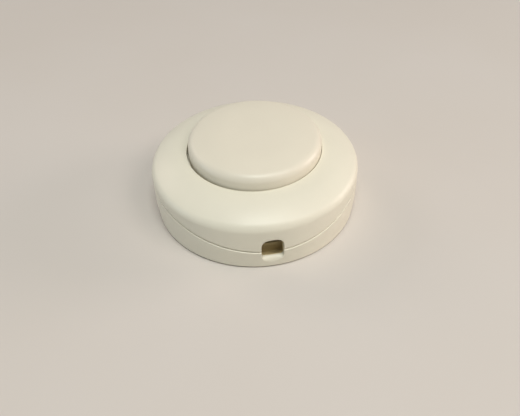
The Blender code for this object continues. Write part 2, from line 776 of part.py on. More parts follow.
def make_plunger():
    """The keyed crown under the button, with ratchet teeth that point down, and its stem."""
    bore_top = crown_top + TRAVEL
    profile = [
        (STEM_RADIUS, crown_top),
        (crown_radius, crown_top),
        (crown_radius, crown_root),
        (tooth_outer_radius, crown_root),
        (tooth_outer_radius, crown_tip),
        (tooth_middle_radius, crown_tip),
        (tooth_inner_radius, crown_tip),
        (tooth_inner_radius, crown_root),
        (pin_bore_radius, crown_root),
        (pin_bore_radius, bore_top),
        (0, bore_top),
    ]
    stem = [(0, cap_underside - GAP), (STEM_RADIUS, cap_underside - GAP)]
    plunger = turned("plunger", stem + profile, parts, steps=TOOTH_COUNT * TOOTH_STATIONS)
    high = crown_root - TOOTH_HEIGHT * TOOTH_ROOT_SHARE
    move_ring(plunger, crown_tip, lambda azimuth: min(crown_tip + tooth_wave(azimuth), high))
    for side in (-1, 1):
        near = side * (crown_radius - BITE)
        far = side * (DRUM_BORE_RADIUS + KEY_REACH)
        low = (min(near, far), -KEY_WIDTH / 2, crown_root)
        high = (max(near, far), KEY_WIDTH / 2, crown_top - KEY_STEP)
        join(plunger, box(f"key_{side}", low, high, tools, True))
    return plunger


def make_contact_rotor():
    """The wheel that carries the contact bridge, with ratchet teeth that point up."""
    tip = rotor_top + TOOTH_HEIGHT
    hub_bottom = boss_top + GAP
    profile = [
        (pin_bore_radius, rotor_top),
        (tooth_inner_radius, rotor_top),
        (tooth_inner_radius, tip),
        (tooth_middle_radius, tip),
        (tooth_outer_radius, tip),
        (tooth_outer_radius, rotor_top),
        (rotor_radius, rotor_top),
        (rotor_radius, rotor_bottom),
        (HUB_RADIUS, rotor_bottom),
        (HUB_RADIUS, hub_bottom),
        (pin_bore_radius, hub_bottom),
    ]
    rotor = turned("contact_rotor", profile, parts, closed=True, steps=TOOTH_COUNT * TOOTH_STATIONS)
    low = rotor_top + TOOTH_HEIGHT * TOOTH_ROOT_SHARE
    move_ring(rotor, tip, lambda azimuth: max(rotor_top + tooth_wave(azimuth), low))
    return rotor


def make_contact_bridge():
    """The four-armed spring under the rotor, with a dimple at each arm's end."""
    half = BRIDGE_ARM_WIDTH / 2
    outline = []
    for index in range(BRIDGE_ARMS):
        heading = math.tau / BRIDGE_ARMS * (index + 1 / 2)
        turn = Matrix.Rotation(heading, 2)
        tip = arc((bridge_reach - half, 0), half, -math.pi / 2, math.pi / 2, BRIDGE_TIP_STEPS)
        root = [(HUB_RADIUS + half, -half)]
        outline += [tuple(turn @ Vector(point)) for point in root + tip]
        outline.append(tuple(turn @ Vector((HUB_RADIUS + half, half))))
    bridge = plate("contact_bridge", outline, bridge_bottom, bridge_top, parts)
    for index in range(BRIDGE_ARMS):
        heading = math.tau / BRIDGE_ARMS * (index + 1 / 2)
        place = (pad_circle * math.cos(heading), pad_circle * math.sin(heading))
        dimple = cylinder(
            f"dimple_{index}",
            BRIDGE_DIMPLE / 2,
            bridge_bottom - BRIDGE_LIFT,
            bridge_bottom + BRIDGE_THICKNESS / 2,
            place,
            tools,
            True,
            top_radius=BRIDGE_DIMPLE,
        )
        join(bridge, dimple)
    cut(bridge, cylinder("bridge_hole", HUB_RADIUS + GAP, 0, rotor_top, (0, 0), tools, True))
    return bridge


def make_pivot_pin():
    """The steel pin in the base's boss that the rotor turns on and the plunger slides on."""
    bottom = pin_bottom + GAP
    profile = [
        (0, pin_top),
        (PIN_RADIUS - PIN_CHAMFER, pin_top),
        (PIN_RADIUS, pin_top - PIN_CHAMFER),
        (PIN_RADIUS, bottom + PIN_CHAMFER),
        (PIN_RADIUS - PIN_CHAMFER, bottom),
        (0, bottom),
    ]
    return turned("pivot_pin", profile, parts, steps=SMALL_ROUND_STEPS)


def make_return_spring():
    """The coil round the drum that lifts the button again, with closer turns at both ends."""
    radius = SPRING_WIRE / 2
    start = spring_bottom + radius
    end = spring_top - radius
    pitch = (end - start - 2 * SPRING_END_PITCH) / (SPRING_TURNS - 2)
    curve = bpy.data.curves.new("return_spring", "CURVE")
    curve.dimensions = "3D"
    curve.bevel_depth = radius
    curve.bevel_resolution = 2
    curve.use_fill_caps = True
    wire = curve.splines.new("POLY")
    count = SPRING_TURNS * SPRING_POINTS
    wire.points.add(count)
    for index in range(count + 1):
        turn = index / SPRING_POINTS
        first = min(turn, 1)
        last = max(turn - (SPRING_TURNS - 1), 0)
        height = start + SPRING_END_PITCH * (first + last) + pitch * (turn - first - last)
        angle = math.tau * turn
        wire.points[index].co = (spring_radius * math.cos(angle), spring_radius * math.sin(angle), height, 1)
    return bake(link("return_spring", curve, parts))


def make_contact_strip(name, side):
    """A flat strip from under a line terminal to its contact pad under the rotor."""
    start, end = strip_ends(side)
    strip = plate(name, stadium(start, end, STRIP_WIDTH / 2), strip_bottom, strip_top, parts)
    pad = cylinder(name + "_pad", PAD_RADIUS, strip_top - STRIP_THICKNESS / 2, pad_top, end, tools, True)
    join(strip, pad)
    return strip


def terminal_block(name, across, side, collection, as_tool=False):
    """A brass block over a strip's end."""
    low = (
        across * terminal_distance - TERMINAL_WIDTH / 2,
        side * TERMINAL_SPREAD - TERMINAL_LENGTH / 2,
        terminal_bottom,
    )
    high = (
        across * terminal_distance + TERMINAL_WIDTH / 2,
        side * TERMINAL_SPREAD + TERMINAL_LENGTH / 2,
        terminal_top,
    )
    return box(name, low, high, collection, as_tool, TERMINAL_EDGE)


def terminal_bores(name, across, side):
    """The hole for the wire, along Y, and the screw's hole, from above."""
    place = (across * terminal_distance, side * TERMINAL_SPREAD)
    half = TERMINAL_LENGTH / 2 + OVERRUN
    wire = cylinder(name + "_wire_bore", WIRE_BORE_RADIUS, -half, half, (0, 0), tools, True)
    lift = Vector((*place, terminal_bottom + WIRE_BORE_HEIGHT))
    wire.data.transform(Matrix.Translation(lift) @ Matrix.Rotation(math.pi / 2, 4, "X"))
    bottom = terminal_bottom + WIRE_BORE_HEIGHT
    top = terminal_top + OVERRUN
    hole = cylinder(name + "_screw_bore", screw_bore_radius, bottom, top, place, tools, True)
    return wire, hole


def make_line_terminal(name, side):
    """One of the two blocks for the switched wire."""
    block = terminal_block(name, -1, side, parts)
    cut(block, *terminal_bores(name, -1, side))
    return block


def make_neutral_link():
    """The piece that carries the other wire straight through: a block at each end and a strap between."""
    link_piece = terminal_block("neutral_link", 1, -1, parts)
    half = LINK_STRAP_WIDTH / 2
    low = (terminal_distance - half, -TERMINAL_SPREAD, strap_bottom)
    high = (terminal_distance + half, TERMINAL_SPREAD, strap_bottom + LINK_STRAP_HEIGHT)
    join(link_piece, box("link_strap", low, high, tools, True), terminal_block("link_end", 1, 1, tools, True))
    for side in (-1, 1):
        cut(link_piece, *terminal_bores(f"link_{side}", 1, side))
    return link_piece


def make_cord_clamp(name, side):
    """The bar that two screws press on the cord, ridged underneath."""
    middle = side * clamp_distance
    start = (-CLAMP_SCREW_SPREAD, middle)
    end = (CLAMP_SCREW_SPREAD, middle)
    bar = plate(name, stadium(start, end, CLAMP_WIDTH / 2), clamp_bottom, clamp_top, parts)
    reach = CLAMP_SCREW_SPREAD - CLAMP_POST_RADIUS - GAP
    for index in range(RIDGE_COUNT):
        offset = (index + 1) / (RIDGE_COUNT + 1) - 1 / 2
        ridge_middle = middle + CLAMP_WIDTH * offset
        low = (-reach, ridge_middle - RIDGE_WIDTH / 2, clamp_bottom - RIDGE_HEIGHT)
        high = (reach, ridge_middle + RIDGE_WIDTH / 2, clamp_bottom + BITE)
        join(bar, box(f"{name}_ridge_{index}", low, high, tools, True))
    for across in (-1, 1):
        place = (across * CLAMP_SCREW_SPREAD, middle)
        hole_name = f"{name}_hole_{across}"
        top = clamp_top + OVERRUN
        cut(bar, cylinder(hole_name, screw_bore_radius, clamp_bottom - OVERRUN, top, place, tools, True))
    return bar


for old in list(bpy.data.objects):
    bpy.data.objects.remove(old, do_unlink=True)

parts = new_collection("foot_switch")
tools = new_collection("foot_switch_tools")

cream = new_material("cream housing plastic", CREAM, 0.42, 0)
button_cream = new_material("cream button plastic", BUTTON_CREAM, 0.38, 0)
inner_white = new_material("white mechanism plastic", INNER_WHITE, 0.5, 0)
brass = new_material("brass", BRASS, 0.32, 1)
steel = new_material("zinc-plated steel", STEEL, 0.35, 1)

housing = link("housing_frame", None, parts)
button_slide = link("button_slide", None, parts)
button_slide.location.x = BUTTON_SIDE_PLAY
rotor_axis = link("rotor_axis", None, parts)
bpy.context.view_layer.update()

give(make_base_shell(), cream, housing)
give(make_top_cover(), cream, housing)

give(make_push_button(), button_cream, button_slide)
give(make_plunger(), inner_white, button_slide)
give(make_return_spring(), steel, housing)

give(make_contact_rotor(), inner_white, rotor_axis)
give(make_contact_bridge(), brass, rotor_axis)
give(make_pivot_pin(), steel, housing)

for place_name, side in (("front", -1), ("rear", 1)):
    give(make_contact_strip("contact_strip_" + place_name, side), brass, housing)
    give(make_line_terminal("line_terminal_" + place_name, side), brass, housing)
    give(make_cord_clamp("cord_clamp_" + place_name, side), inner_white, housing)
    for hand, across in (("left", -1), ("right", 1)):
        screw(
            f"terminal_screw_{place_name}_{hand}",
            (across * terminal_distance, side * TERMINAL_SPREAD),
            terminal_top + GAP,
            SCREW_HEAD_RADIUS,
            TERMINAL_SCREW_LENGTH,
            False,
            steel,
            housing,
        )
        screw(
            f"clamp_screw_{place_name}_{hand}",
            (across * CLAMP_SCREW_SPREAD, side * clamp_distance),
            clamp_top + GAP,
            SCREW_HEAD_RADIUS,
            CLAMP_SCREW_LENGTH,
            False,
            steel,
            housing,
        )
give(make_neutral_link(), brass, housing)
for hand, across in (("left", -1), ("right", 1)):
    screw(
        "housing_screw_" + hand,
        (across * housing_screw_distance, 0),
        housing_head_top,
        HOUSING_HEAD_RADIUS,
        HOUSING_SCREW_LENGTH,
        True,
        steel,
        housing,
    )
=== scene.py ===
# %% [markdown]
# A round foot switch for a lamp cord, dressed for its picture.
#
# The solids of all its pieces come ready made and in place. They have the right sizes, but few faces. In this
# lesson each piece gets the surface that the moulding tool, the press or the lathe gives the real one: finely
# turned walls, soft edges, threads, ground spring ends, and then its finish.

# %% Open the frame
import json
import math

import bmesh
import bpy
from mathutils import Matrix, Vector


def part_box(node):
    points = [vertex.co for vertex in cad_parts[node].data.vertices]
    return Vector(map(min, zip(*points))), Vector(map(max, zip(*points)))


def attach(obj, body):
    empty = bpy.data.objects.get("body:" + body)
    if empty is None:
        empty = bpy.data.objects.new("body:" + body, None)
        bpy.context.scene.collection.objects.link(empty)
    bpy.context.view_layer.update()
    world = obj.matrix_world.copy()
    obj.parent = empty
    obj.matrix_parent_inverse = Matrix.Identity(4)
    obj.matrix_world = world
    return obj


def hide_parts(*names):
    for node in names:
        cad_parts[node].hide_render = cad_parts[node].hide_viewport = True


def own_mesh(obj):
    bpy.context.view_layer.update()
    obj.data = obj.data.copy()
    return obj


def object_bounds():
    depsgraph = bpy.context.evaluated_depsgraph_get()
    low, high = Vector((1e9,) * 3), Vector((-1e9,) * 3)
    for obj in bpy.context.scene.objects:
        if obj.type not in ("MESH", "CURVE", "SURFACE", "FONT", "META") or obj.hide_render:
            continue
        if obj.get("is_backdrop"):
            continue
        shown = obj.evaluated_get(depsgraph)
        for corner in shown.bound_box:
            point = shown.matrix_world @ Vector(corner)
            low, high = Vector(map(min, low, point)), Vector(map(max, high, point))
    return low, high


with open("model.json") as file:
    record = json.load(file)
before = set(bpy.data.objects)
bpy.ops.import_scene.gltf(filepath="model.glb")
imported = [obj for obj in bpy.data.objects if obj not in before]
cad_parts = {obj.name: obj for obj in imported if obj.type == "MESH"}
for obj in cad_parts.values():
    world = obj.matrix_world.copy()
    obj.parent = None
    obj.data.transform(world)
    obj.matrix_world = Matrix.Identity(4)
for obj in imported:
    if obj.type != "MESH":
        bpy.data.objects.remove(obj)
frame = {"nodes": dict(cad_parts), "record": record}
cad_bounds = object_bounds()
print("pieces in the frame:", len(frame["nodes"]))

# %% [markdown]
# Sizes that the solids already have are measured on them, so that each new piece fits where the solid was. A
# box gives the overall sizes. The radius of a hole or a wall is read from the corners that lie at its height,
# as a gauge reads it on the bench.

# %% Measure the housing and the button
WELD = 0.000004
HOLE_EDGE = 0.0005
LEVEL = 0.0001


def radii_above(node, height, centre=0):
    """Distances from an upright axis of a solid's corners above a height."""
    corners = [vertex.co for vertex in frame["nodes"][node].data.vertices if vertex.co.z > height]
    return [math.hypot(corner.x - centre, corner.y) for corner in corners]


cover_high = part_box("top_cover")[1]
base_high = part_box("base_shell")[1]
button_low, button_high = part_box("push_button")
housing_radius = cover_high.x
housing_height = cover_high.z
hole_radius = min(radii_above("top_cover", housing_height - HOLE_EDGE - LEVEL))
button_shift = (button_low.x + button_high.x) / 2
flange_radius = (button_high.x - button_low.x) / 2
button_radius = max(radii_above("push_button", housing_height, button_shift))
button_top = button_high.z
flange_bottom = button_low.z
drum_top = base_high.z
for title, value in (("housing", housing_radius), ("hole", hole_radius), ("button", button_radius)):
    print(title, "radius", round(value * 1000, 2), "mm")

# %% [markdown]
# The rest of the housing's section is drawn from a few plain sizes: the walls, the rounded shoulder, the
# crown that rises slightly to the button, and the seam. The seam dips to the cord's slots at the front and
# the rear and rises at the sides, so its height follows the square of a cosine round the axis.

# %% Sizes of the mouldings
COVER_WALL = 0.0020
FLOOR_THICKNESS = 0.0020
FOOT_DRAFT = 0.0005
FOOT_RELIEF = 0.0005
FOOT_EDGE = 0.0002
FOOT_INSET = 0.0010
FOOT_RING_WIDTH = 0.0014
UNDERSIDE_DEPTH = 0.0005
LIP_THICKNESS = 0.0009
LIP_HEIGHT = 0.0012
SHELL_GAP = 0.0003
SEAM_LOW = 0.0063
SEAM_RISE = 0.0060
SEAM_GAP = 0.0004
RIM_FILLET = 0.00045
EDGE_FILLET = 0.00022
INNER_FILLET = 0.0006
SHOULDER_RADIUS = 0.0030
CROWN_OUTER_SLOPE = math.radians(32)
CROWN_INNER_SLOPE = math.radians(5)
ROUND_STEPS = 192
FILLET_STEPS = 5
EDGE_STEPS = 2
RING_HEIGHT = 0.0005

cover_inner_radius = housing_radius - COVER_WALL
lip_outer_radius = cover_inner_radius - SHELL_GAP
base_inner_radius = lip_outer_radius - LIP_THICKNESS
foot_radius = housing_radius - FOOT_DRAFT
ring_radius = foot_radius - FOOT_INSET
underside_radius = ring_radius - FOOT_RING_WIDTH

shoulder_centre = housing_radius - SHOULDER_RADIUS
crown_outer_radius = shoulder_centre + SHOULDER_RADIUS * math.sin(CROWN_OUTER_SLOPE)
crown_bend = (crown_outer_radius - hole_radius) / (math.sin(CROWN_OUTER_SLOPE) - math.sin(CROWN_INNER_SLOPE))
crown_centre = hole_radius - crown_bend * math.sin(CROWN_INNER_SLOPE)
crown_centre_height = housing_height - crown_bend * math.cos(CROWN_INNER_SLOPE)
crown_edge_height = crown_centre_height + crown_bend * math.cos(CROWN_OUTER_SLOPE)
shoulder_start = crown_edge_height - SHOULDER_RADIUS * math.cos(CROWN_OUTER_SLOPE)
print("the shoulder starts", round(shoulder_start * 1000, 2), "mm above the floor")


def seam_rise(vertex):
    """How much higher the seam is at a vertex's azimuth than at the cord's slots."""
    return SEAM_RISE * math.cos(math.atan2(vertex.co.y, vertex.co.x)) ** 2


def wall_radius(height):
    """The outer wall's radius: the base has a little draft below the seam."""
    share = min(max((height - FOOT_RELIEF) / (SEAM_LOW - FOOT_RELIEF), 0), 1)
    return foot_radius + FOOT_DRAFT * share


# %% [markdown]
# Both shells, the button and the small turned parts are all made in one way: a half section is drawn in the
# plane y = 0 and spun round the Z axis. The section itself is drawn with operators too. A straight stretch is
# a vertex that is extruded, an arc is a vertex that is spun about the arc's centre, and a small fillet is a
# vertex bevel of the corner. A list of computed points would give the same outline, but would hide what is a
# line and what is an arc.

# %% A pen for half sections
def start(radius, height):
    """Starts a section with one vertex at a radius and a height."""
    work = bmesh.new()
    return work, work.verts.new((radius, 0, height))


def line(work, point, radius, height, steps=1):
    """Draws a straight stretch to a radius and a height, in equal steps."""
    begin = point.co.copy()
    end = Vector((radius, 0, height))
    for index in range(steps):
        point = bmesh.ops.extrude_vert_indiv(work, verts=[point])["verts"][0]
        point.co = begin.lerp(end, (index + 1) / steps)
    return point


def lines(work, point, *ends):
    """Draws a stretch to each end, a radius and a height with steps if wanted, and returns the ends."""
    made = []
    for end in ends:
        point = line(work, point, *end)
        made.append(point)
    return made


def bend(work, point, centre, angle, steps):
    """Draws an arc about a (radius, height). A positive angle runs from the top over to the outside."""
    middle = (centre[0], 0, centre[1])
    made = bmesh.ops.spin(work, geom=[point], cent=middle, axis=(0, 1, 0), angle=angle, steps=steps)
    return made["geom_last"][0]


def fillet(work, corners, size, steps=FILLET_STEPS):
    """Rounds corners of a section."""
    bmesh.ops.bevel(
        work, geom=corners, offset=size, segments=steps, profile=0.5, affect="VERTICES", material=-1
    )


def turn(work, steps=ROUND_STEPS):
    """Spins the section round the Z axis into a closed body."""
    section = work.verts[:] + work.edges[:]
    bmesh.ops.spin(
        work, geom=section, cent=(0, 0, 0), axis=(0, 0, 1), angle=math.tau, steps=steps, use_merge=True
    )
    bmesh.ops.remove_doubles(work, verts=work.verts, dist=WELD)
    bmesh.ops.recalc_face_normals(work, faces=work.faces)


def wall_steps(low, high):
    """How many rings a wall gets: close ones keep the shading clean beside a cut."""
    return max(round(abs(high - low) / RING_HEIGHT), 1)


# %% [markdown]
# Ribs, posts, pockets and holes are joined to a turned shell or cut out of it. A Boolean modifier takes a
# whole collection of tools at once, and the exact solver keeps the result closed. The result is then applied,
# so that the finished piece is a plain mesh at the origin.

# %% A bench for joining and cutting
SHARP_ANGLE = math.radians(32)


def add_object(name, data):
    """A new object in the scene, at the origin."""
    item = bpy.data.objects.new(name, data)
    bpy.context.scene.collection.objects.link(item)
    return item


def make_piece(name, work):
    """Turns a bmesh into an object in the scene."""
    mesh = bpy.data.meshes.new(name)
    work.to_mesh(mesh)
    work.free()
    return add_object(name, mesh)


def smooth(piece):
    """Shades a piece smooth, apart from its sharp edges."""
    piece.data.shade_smooth()
    piece.data.set_sharp_from_angle(angle=SHARP_ANGLE)


def boolean(piece, tools, operation):
    """Unites a piece with tools, or cuts them out of it, and applies the result."""
    bench = bpy.data.collections.new(piece.name + "_tools")
    bpy.context.scene.collection.children.link(bench)
    for tool in tools:
        bpy.context.scene.collection.objects.unlink(tool)
        bench.objects.link(tool)
    modifier = piece.modifiers.new("boolean", "BOOLEAN")
    modifier.operation = operation
    modifier.solver = "EXACT"
    modifier.operand_type = "COLLECTION"
    modifier.collection = bench
    bpy.context.view_layer.update()
    graph = bpy.context.evaluated_depsgraph_get()
    mesh = bpy.data.meshes.new_from_object(piece.evaluated_get(graph))
    piece.modifiers.clear()
    piece.data = mesh
    for tool in tools:
        bpy.data.objects.remove(tool)
    bpy.data.collections.remove(bench)


def report(piece):
    """Prints a piece's size and how many faces it has, and whether it is closed."""
    work = bmesh.new()
    work.from_mesh(piece.data)
    open_edges = sum(1 for edge in work.edges if not edge.is_manifold)
    size = [round(value * 1000, 2) for value in piece.dimensions]
    print(piece.name, "mm", size, "faces", len(work.faces), "open edges", open_edges)
    work.free()


# %% Tools of simple shape
TOOL_STEPS = 64


def cylinder(name, radius, bottom, top, place=(0, 0), rounding=0):
    """An upright cylinder about place, an (x, y) pair, with its top edge rounded if wanted."""
    work = bmesh.new()
    bmesh.ops.create_cone(
        work, cap_ends=True, segments=TOOL_STEPS, radius1=radius, radius2=radius, depth=top - bottom
    )
    bmesh.ops.translate(work, verts=work.verts, vec=(*place, (top + bottom) / 2))
    if rounding:
        rim = [edge for edge in work.edges if all(vertex.co.z > top - WELD for vertex in edge.verts)]
        round_edges(work, rim, rounding)
    return make_piece(name, work)


def round_edges(work, edges, size):
    """Bevels edges into a small round."""
    shape = {"segments": EDGE_STEPS, "profile": 0.5, "clamp_overlap": True}
    bmesh.ops.bevel(work, geom=edges, offset=size, affect="EDGES", material=-1, **shape)


def rotate(work, angle, axis):
    """Rotates a whole body about an axis through the origin."""
    bmesh.ops.rotate(work, verts=work.verts, cent=(0, 0, 0), matrix=Matrix.Rotation(angle, 3, axis))


def fill_openings(work):
    """Closes every open rim with a flat face."""
    bmesh.ops.holes_fill(work, edges=[edge for edge in work.edges if edge.is_boundary])


def verts_of(made):
    """The vertices among what an operator has made."""
    return [part for part in made["geom"] if isinstance(part, bmesh.types.BMVert)]


def ring(name, inner, outer, bottom, top, rounding=0):
    """An upright ring about the Z axis."""
    work, first = start(inner, top)
    corner, _, last = lines(work, first, (outer, top), (outer, bottom), (inner, bottom))
    work.edges.new((last, first))
    if rounding:
        fillet(work, [first, corner], rounding, EDGE_STEPS)
    turn(work, TOOL_STEPS * 2)
    return make_piece(name, work)


def block(name, near, far, rounding=0):
    """A box between two opposite corners with all its edges rounded if wanted."""
    work = bmesh.new()
    bmesh.ops.create_cube(work, size=1)
    size = [abs(end - begin) for begin, end in zip(near, far)]
    bmesh.ops.scale(work, verts=work.verts, vec=size)
    bmesh.ops.translate(work, verts=work.verts, vec=(Vector(far) + Vector(near)) / 2)
    if rounding:
        round_edges(work, work.edges[:], rounding)
    return make_piece(name, work)


def strip(name, begin, end, half_width, bottom, top):
    """A flat bar with round ends: a disc whose far half is pulled out to the bar's length."""
    work = bmesh.new()
    bmesh.ops.create_circle(work, cap_ends=True, segments=TOOL_STEPS, radius=half_width)
    rotate(work, math.pi / TOOL_STEPS, "Z")
    reach = Vector(end) - Vector(begin)
    far = [vertex for vertex in work.verts if vertex.co.x > 0]
    bmesh.ops.translate(work, verts=far, vec=(reach.length, 0, 0))
    rotate(work, math.atan2(reach.y, reach.x), "Z")
    bmesh.ops.translate(work, verts=work.verts, vec=(*begin, bottom))
    upper = verts_of(bmesh.ops.extrude_face_region(work, geom=work.faces[:]))
    bmesh.ops.translate(work, verts=upper, vec=(0, 0, top - bottom))
    bmesh.ops.recalc_face_normals(work, faces=work.faces)
    return make_piece(name, work)


# %% [markdown]
# The cord's way through the wall is a channel with an arched top. It opens outwards like a trumpet's mouth:
# a little at the top and the sides, and far down below, where the cord bends over it. That lip catches the
# light in the picture, and behind its crest the channel falls away again, so that one looks into the dark
# housing. The tool is one section that is extruded station by station. At each station its sides move out
# and its lower edge sags, most in the middle, so the lip shows as a crescent, and each station is wrapped on
# the round wall. The last one lies well outside it, because a flat end would leave a sliver of round wall.

# %% The tool for the cord's slots
SLOT_WIDTH = 0.0060
SLOT_HEIGHT = 0.0066
SLOT_FLOOR = 0.0039
SLOT_ARCH = 0.0023
SLOT_CORNER = 0.0007
ARCH_STEPS = 10
CORNER_STEPS = 4
LIP_CUTS = 19
FLARE_DEPTH = 0.0015
FLARE_DROP = 0.0020
FLARE_SIDE = 0.0001
FLARE_TOP = 0.0004
FLARE_SWEEP = math.radians(82)
FLARE_STEPS = 12
INNER_FALL = 0.0015
INNER_REACH = 0.0003
INNER_STEPS = 5
SLOT_OVERRUN = 0.0012
slot_middle = SLOT_FLOOR + SLOT_HEIGHT / 2
slot_half = SLOT_WIDTH / 2


def slot_section():
    """The slot's section in the XZ plane: square below, arched above, with its lower edge divided."""
    work = bmesh.new()
    bmesh.ops.create_grid(work, x_segments=1, y_segments=1, size=0.5)
    bmesh.ops.scale(work, verts=work.verts, vec=(SLOT_WIDTH, SLOT_HEIGHT, 1))
    rotate(work, math.pi / 2, "X")
    bmesh.ops.translate(work, verts=work.verts, vec=(0, 0, slot_middle))
    fillet(work, [vertex for vertex in work.verts if vertex.co.z > slot_middle], SLOT_ARCH, ARCH_STEPS)
    level = SLOT_FLOOR + WELD
    fillet(work, [vertex for vertex in work.verts if vertex.co.z < level], SLOT_CORNER, CORNER_STEPS)
    lower = [edge for edge in work.edges if all(vertex.co.z < level for vertex in edge.verts)]
    bmesh.ops.subdivide_edges(work, edges=lower, cuts=LIP_CUTS)
    return work


def stations():
    """Depth from the wall, share of the flare and inner fall, from inside the housing to just outside it."""
    places = [(housing_radius - base_inner_radius + SLOT_OVERRUN, 0, INNER_FALL)]
    for index in range(INNER_STEPS, 0, -1):
        angle = FLARE_SWEEP * index / INNER_STEPS
        depth = FLARE_DEPTH + INNER_REACH * math.sin(angle)
        places.append((depth, 0, INNER_FALL * (1 - math.cos(angle))))
    for index in range(FLARE_STEPS + 1):
        angle = FLARE_SWEEP * index / FLARE_STEPS
        places.append((FLARE_DEPTH * (1 - math.sin(angle)), 1 - math.cos(angle), 0))
    depth, opening, fall = places[-1]
    run = (depth + SHELL_GAP) / (FLARE_DEPTH * math.cos(FLARE_SWEEP))
    widest = opening + run * math.sin(FLARE_SWEEP)
    places.append((-SHELL_GAP, widest, 0))
    places.append((-SLOT_OVERRUN, widest, 0))
    return places


def slot_tool(name, side):
    """The trumpet-shaped tool. side is -1 at the front and 1 at the rear."""
    work = slot_section()
    face = work.faces[:][0]
    section = {}
    for vertex in face.verts:
        section[vertex] = (vertex.co.x, vertex.co.z)
    for index, (depth, opening, fall) in enumerate(stations()):
        if index:
            old = list(face.verts)
            made = bmesh.ops.extrude_discrete_faces(work, faces=[face])
            face = made["faces"][0]
            section = dict(zip(face.verts, (section[vertex] for vertex in old)))
        for vertex, (x, z) in section.items():
            sag = max(1 - (x / slot_half) ** 2, 0)
            new_x = x * (1 + FLARE_SIDE * opening / slot_half)
            if z > slot_middle:
                new_z = z + FLARE_TOP * opening
            else:
                new_z = z - FLARE_DROP * opening * sag - fall
            radius = wall_radius(new_z) - depth
            vertex.co = (new_x, side * math.sqrt(radius**2 - new_x**2), new_z)
    bmesh.ops.remove_doubles(work, verts=work.verts, dist=WELD / 4)
    fill_openings(work)
    bmesh.ops.triangulate(work, faces=[face for face in work.faces if len(face.verts) > 4])
    bmesh.ops.recalc_face_normals(work, faces=work.faces)
    return make_piece(name, work)


print("the slot is", round(SLOT_WIDTH * 1000, 1), "by", round(SLOT_HEIGHT * 1000, 1), "mm")

# %% [markdown]
# The base is one moulding: a floor with a foot ring below, a wall with a little draft, a rim with a small
# fillet that shows as a bright line along the seam, and a lip that the cover slides over. The wall ends just
# above the floor and the ring stands back from it, which gives the thin dark line under the switch. The rim
# is first drawn level, and then each vertex moves up with the seam. The rings of the wall share that rise
# out between them, so that they stay even, and are set out to the wall's radius at their new height.

# %% Turn the base's shell
def rounded_section_of_base():
    """The base's half section, with a level rim."""
    lip_top = SEAM_LOW + LIP_HEIGHT
    work, point = start(0, FLOOR_THICKNESS)
    inner_corner, lip_inner, lip_outer, _, rim = lines(
        work,
        point,
        (base_inner_radius, FLOOR_THICKNESS),
        (base_inner_radius, lip_top, 3),
        (lip_outer_radius, lip_top),
        (lip_outer_radius, SEAM_LOW),
        (housing_radius, SEAM_LOW),
    )
    foot_corner, _, ring_outer, ring_inner, _, _ = lines(
        work,
        rim,
        (foot_radius, FOOT_RELIEF, wall_steps(FOOT_RELIEF, SEAM_LOW)),
        (ring_radius, FOOT_RELIEF),
        (ring_radius, 0),
        (underside_radius, 0),
        (underside_radius - UNDERSIDE_DEPTH, UNDERSIDE_DEPTH),
        (0, UNDERSIDE_DEPTH),
    )
    fillet(work, [inner_corner], INNER_FILLET)
    fillet(work, [ring_outer, ring_inner], FOOT_RELIEF / 4, EDGE_STEPS)
    fillet(work, [foot_corner], FOOT_EDGE)
    fillet(work, [lip_inner, lip_outer], LIP_THICKNESS / 4, 3)
    fillet(work, [rim], RIM_FILLET)
    return work


def follow_seam(work, still, moved, nearest=0):
    """Moves vertices up with the seam: none at the still height, fully from the moved height on."""
    for vertex in work.verts:
        share = min((vertex.co.z - still) / (moved - still), 1)
        if share > 0 and vertex.co.xy.length > nearest:
            vertex.co.z += seam_rise(vertex) * share


work = rounded_section_of_base()
turn(work)
wall_start = FOOT_RELIEF + FOOT_EDGE
follow_seam(work, wall_start, SEAM_LOW - RIM_FILLET, base_inner_radius - WELD)
for vertex in work.verts:
    radius = vertex.co.xy.length
    if vertex.co.z > wall_start and radius > foot_radius - WELD:
        skin = radius / wall_radius(min(vertex.co.z - seam_rise(vertex), SEAM_LOW))
        if skin > 1 - LEVEL / housing_radius:
            vertex.co.xy *= wall_radius(vertex.co.z) / radius
base_moulding = make_piece("base_moulding", work)
report(base_moulding)

# %% [markdown]
# Inside, the base carries the works: the drum that guides the ratchet, a ledge for the spring, a boss for the
# pivot pin, pockets that hold the terminals, posts and a saddle under each cord clamp, and two bosses for the
# screws that come up from below. Each is a plain shape that goes a little into the floor, so that the union
# has no touching faces.

# %% Sizes inside the base
BITE = 0.0005
PASS = 0.0010
DRUM_BORE_RADIUS = 0.0090
DRUM_WALL = 0.0012
LEDGE_HEIGHT = 0.0026
HUB_RADIUS = 0.0026
BOSS_TOP = 0.0029
PIN_BORE_RADIUS = 0.0015
SCREW_BORE_RADIUS = 0.0015
CLAMP_SPREAD = 0.0064
CLAMP_POST_RADIUS = 0.0025
CLAMP_WIDTH = 0.0044
CLAMP_POST_TOP = 0.0100
SADDLE_TOP = 0.00515
CLAMP_SCREW_HOLE_DEPTH = 0.0048
POCKET_WALL = 0.0010
POCKET_HEIGHT = 0.0042
GROOVE_DEPTH = 0.0003
COUNTERBORE_RADIUS = 0.0031
COUNTERBORE_TOP = 0.0031
STRIP_HALF = 0.0016
HOUSING_BOSS_RADIUS = 0.0041
HOUSING_BOSS_HEIGHT = 0.0062
KEY_WIDTH = 0.0026
KEY_DEPTH = 0.0051
SMALL_ROUND = 0.00025


def middle_of(node):
    """The middle of a solid's box."""
    low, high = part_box(node)
    return (low + high) / 2


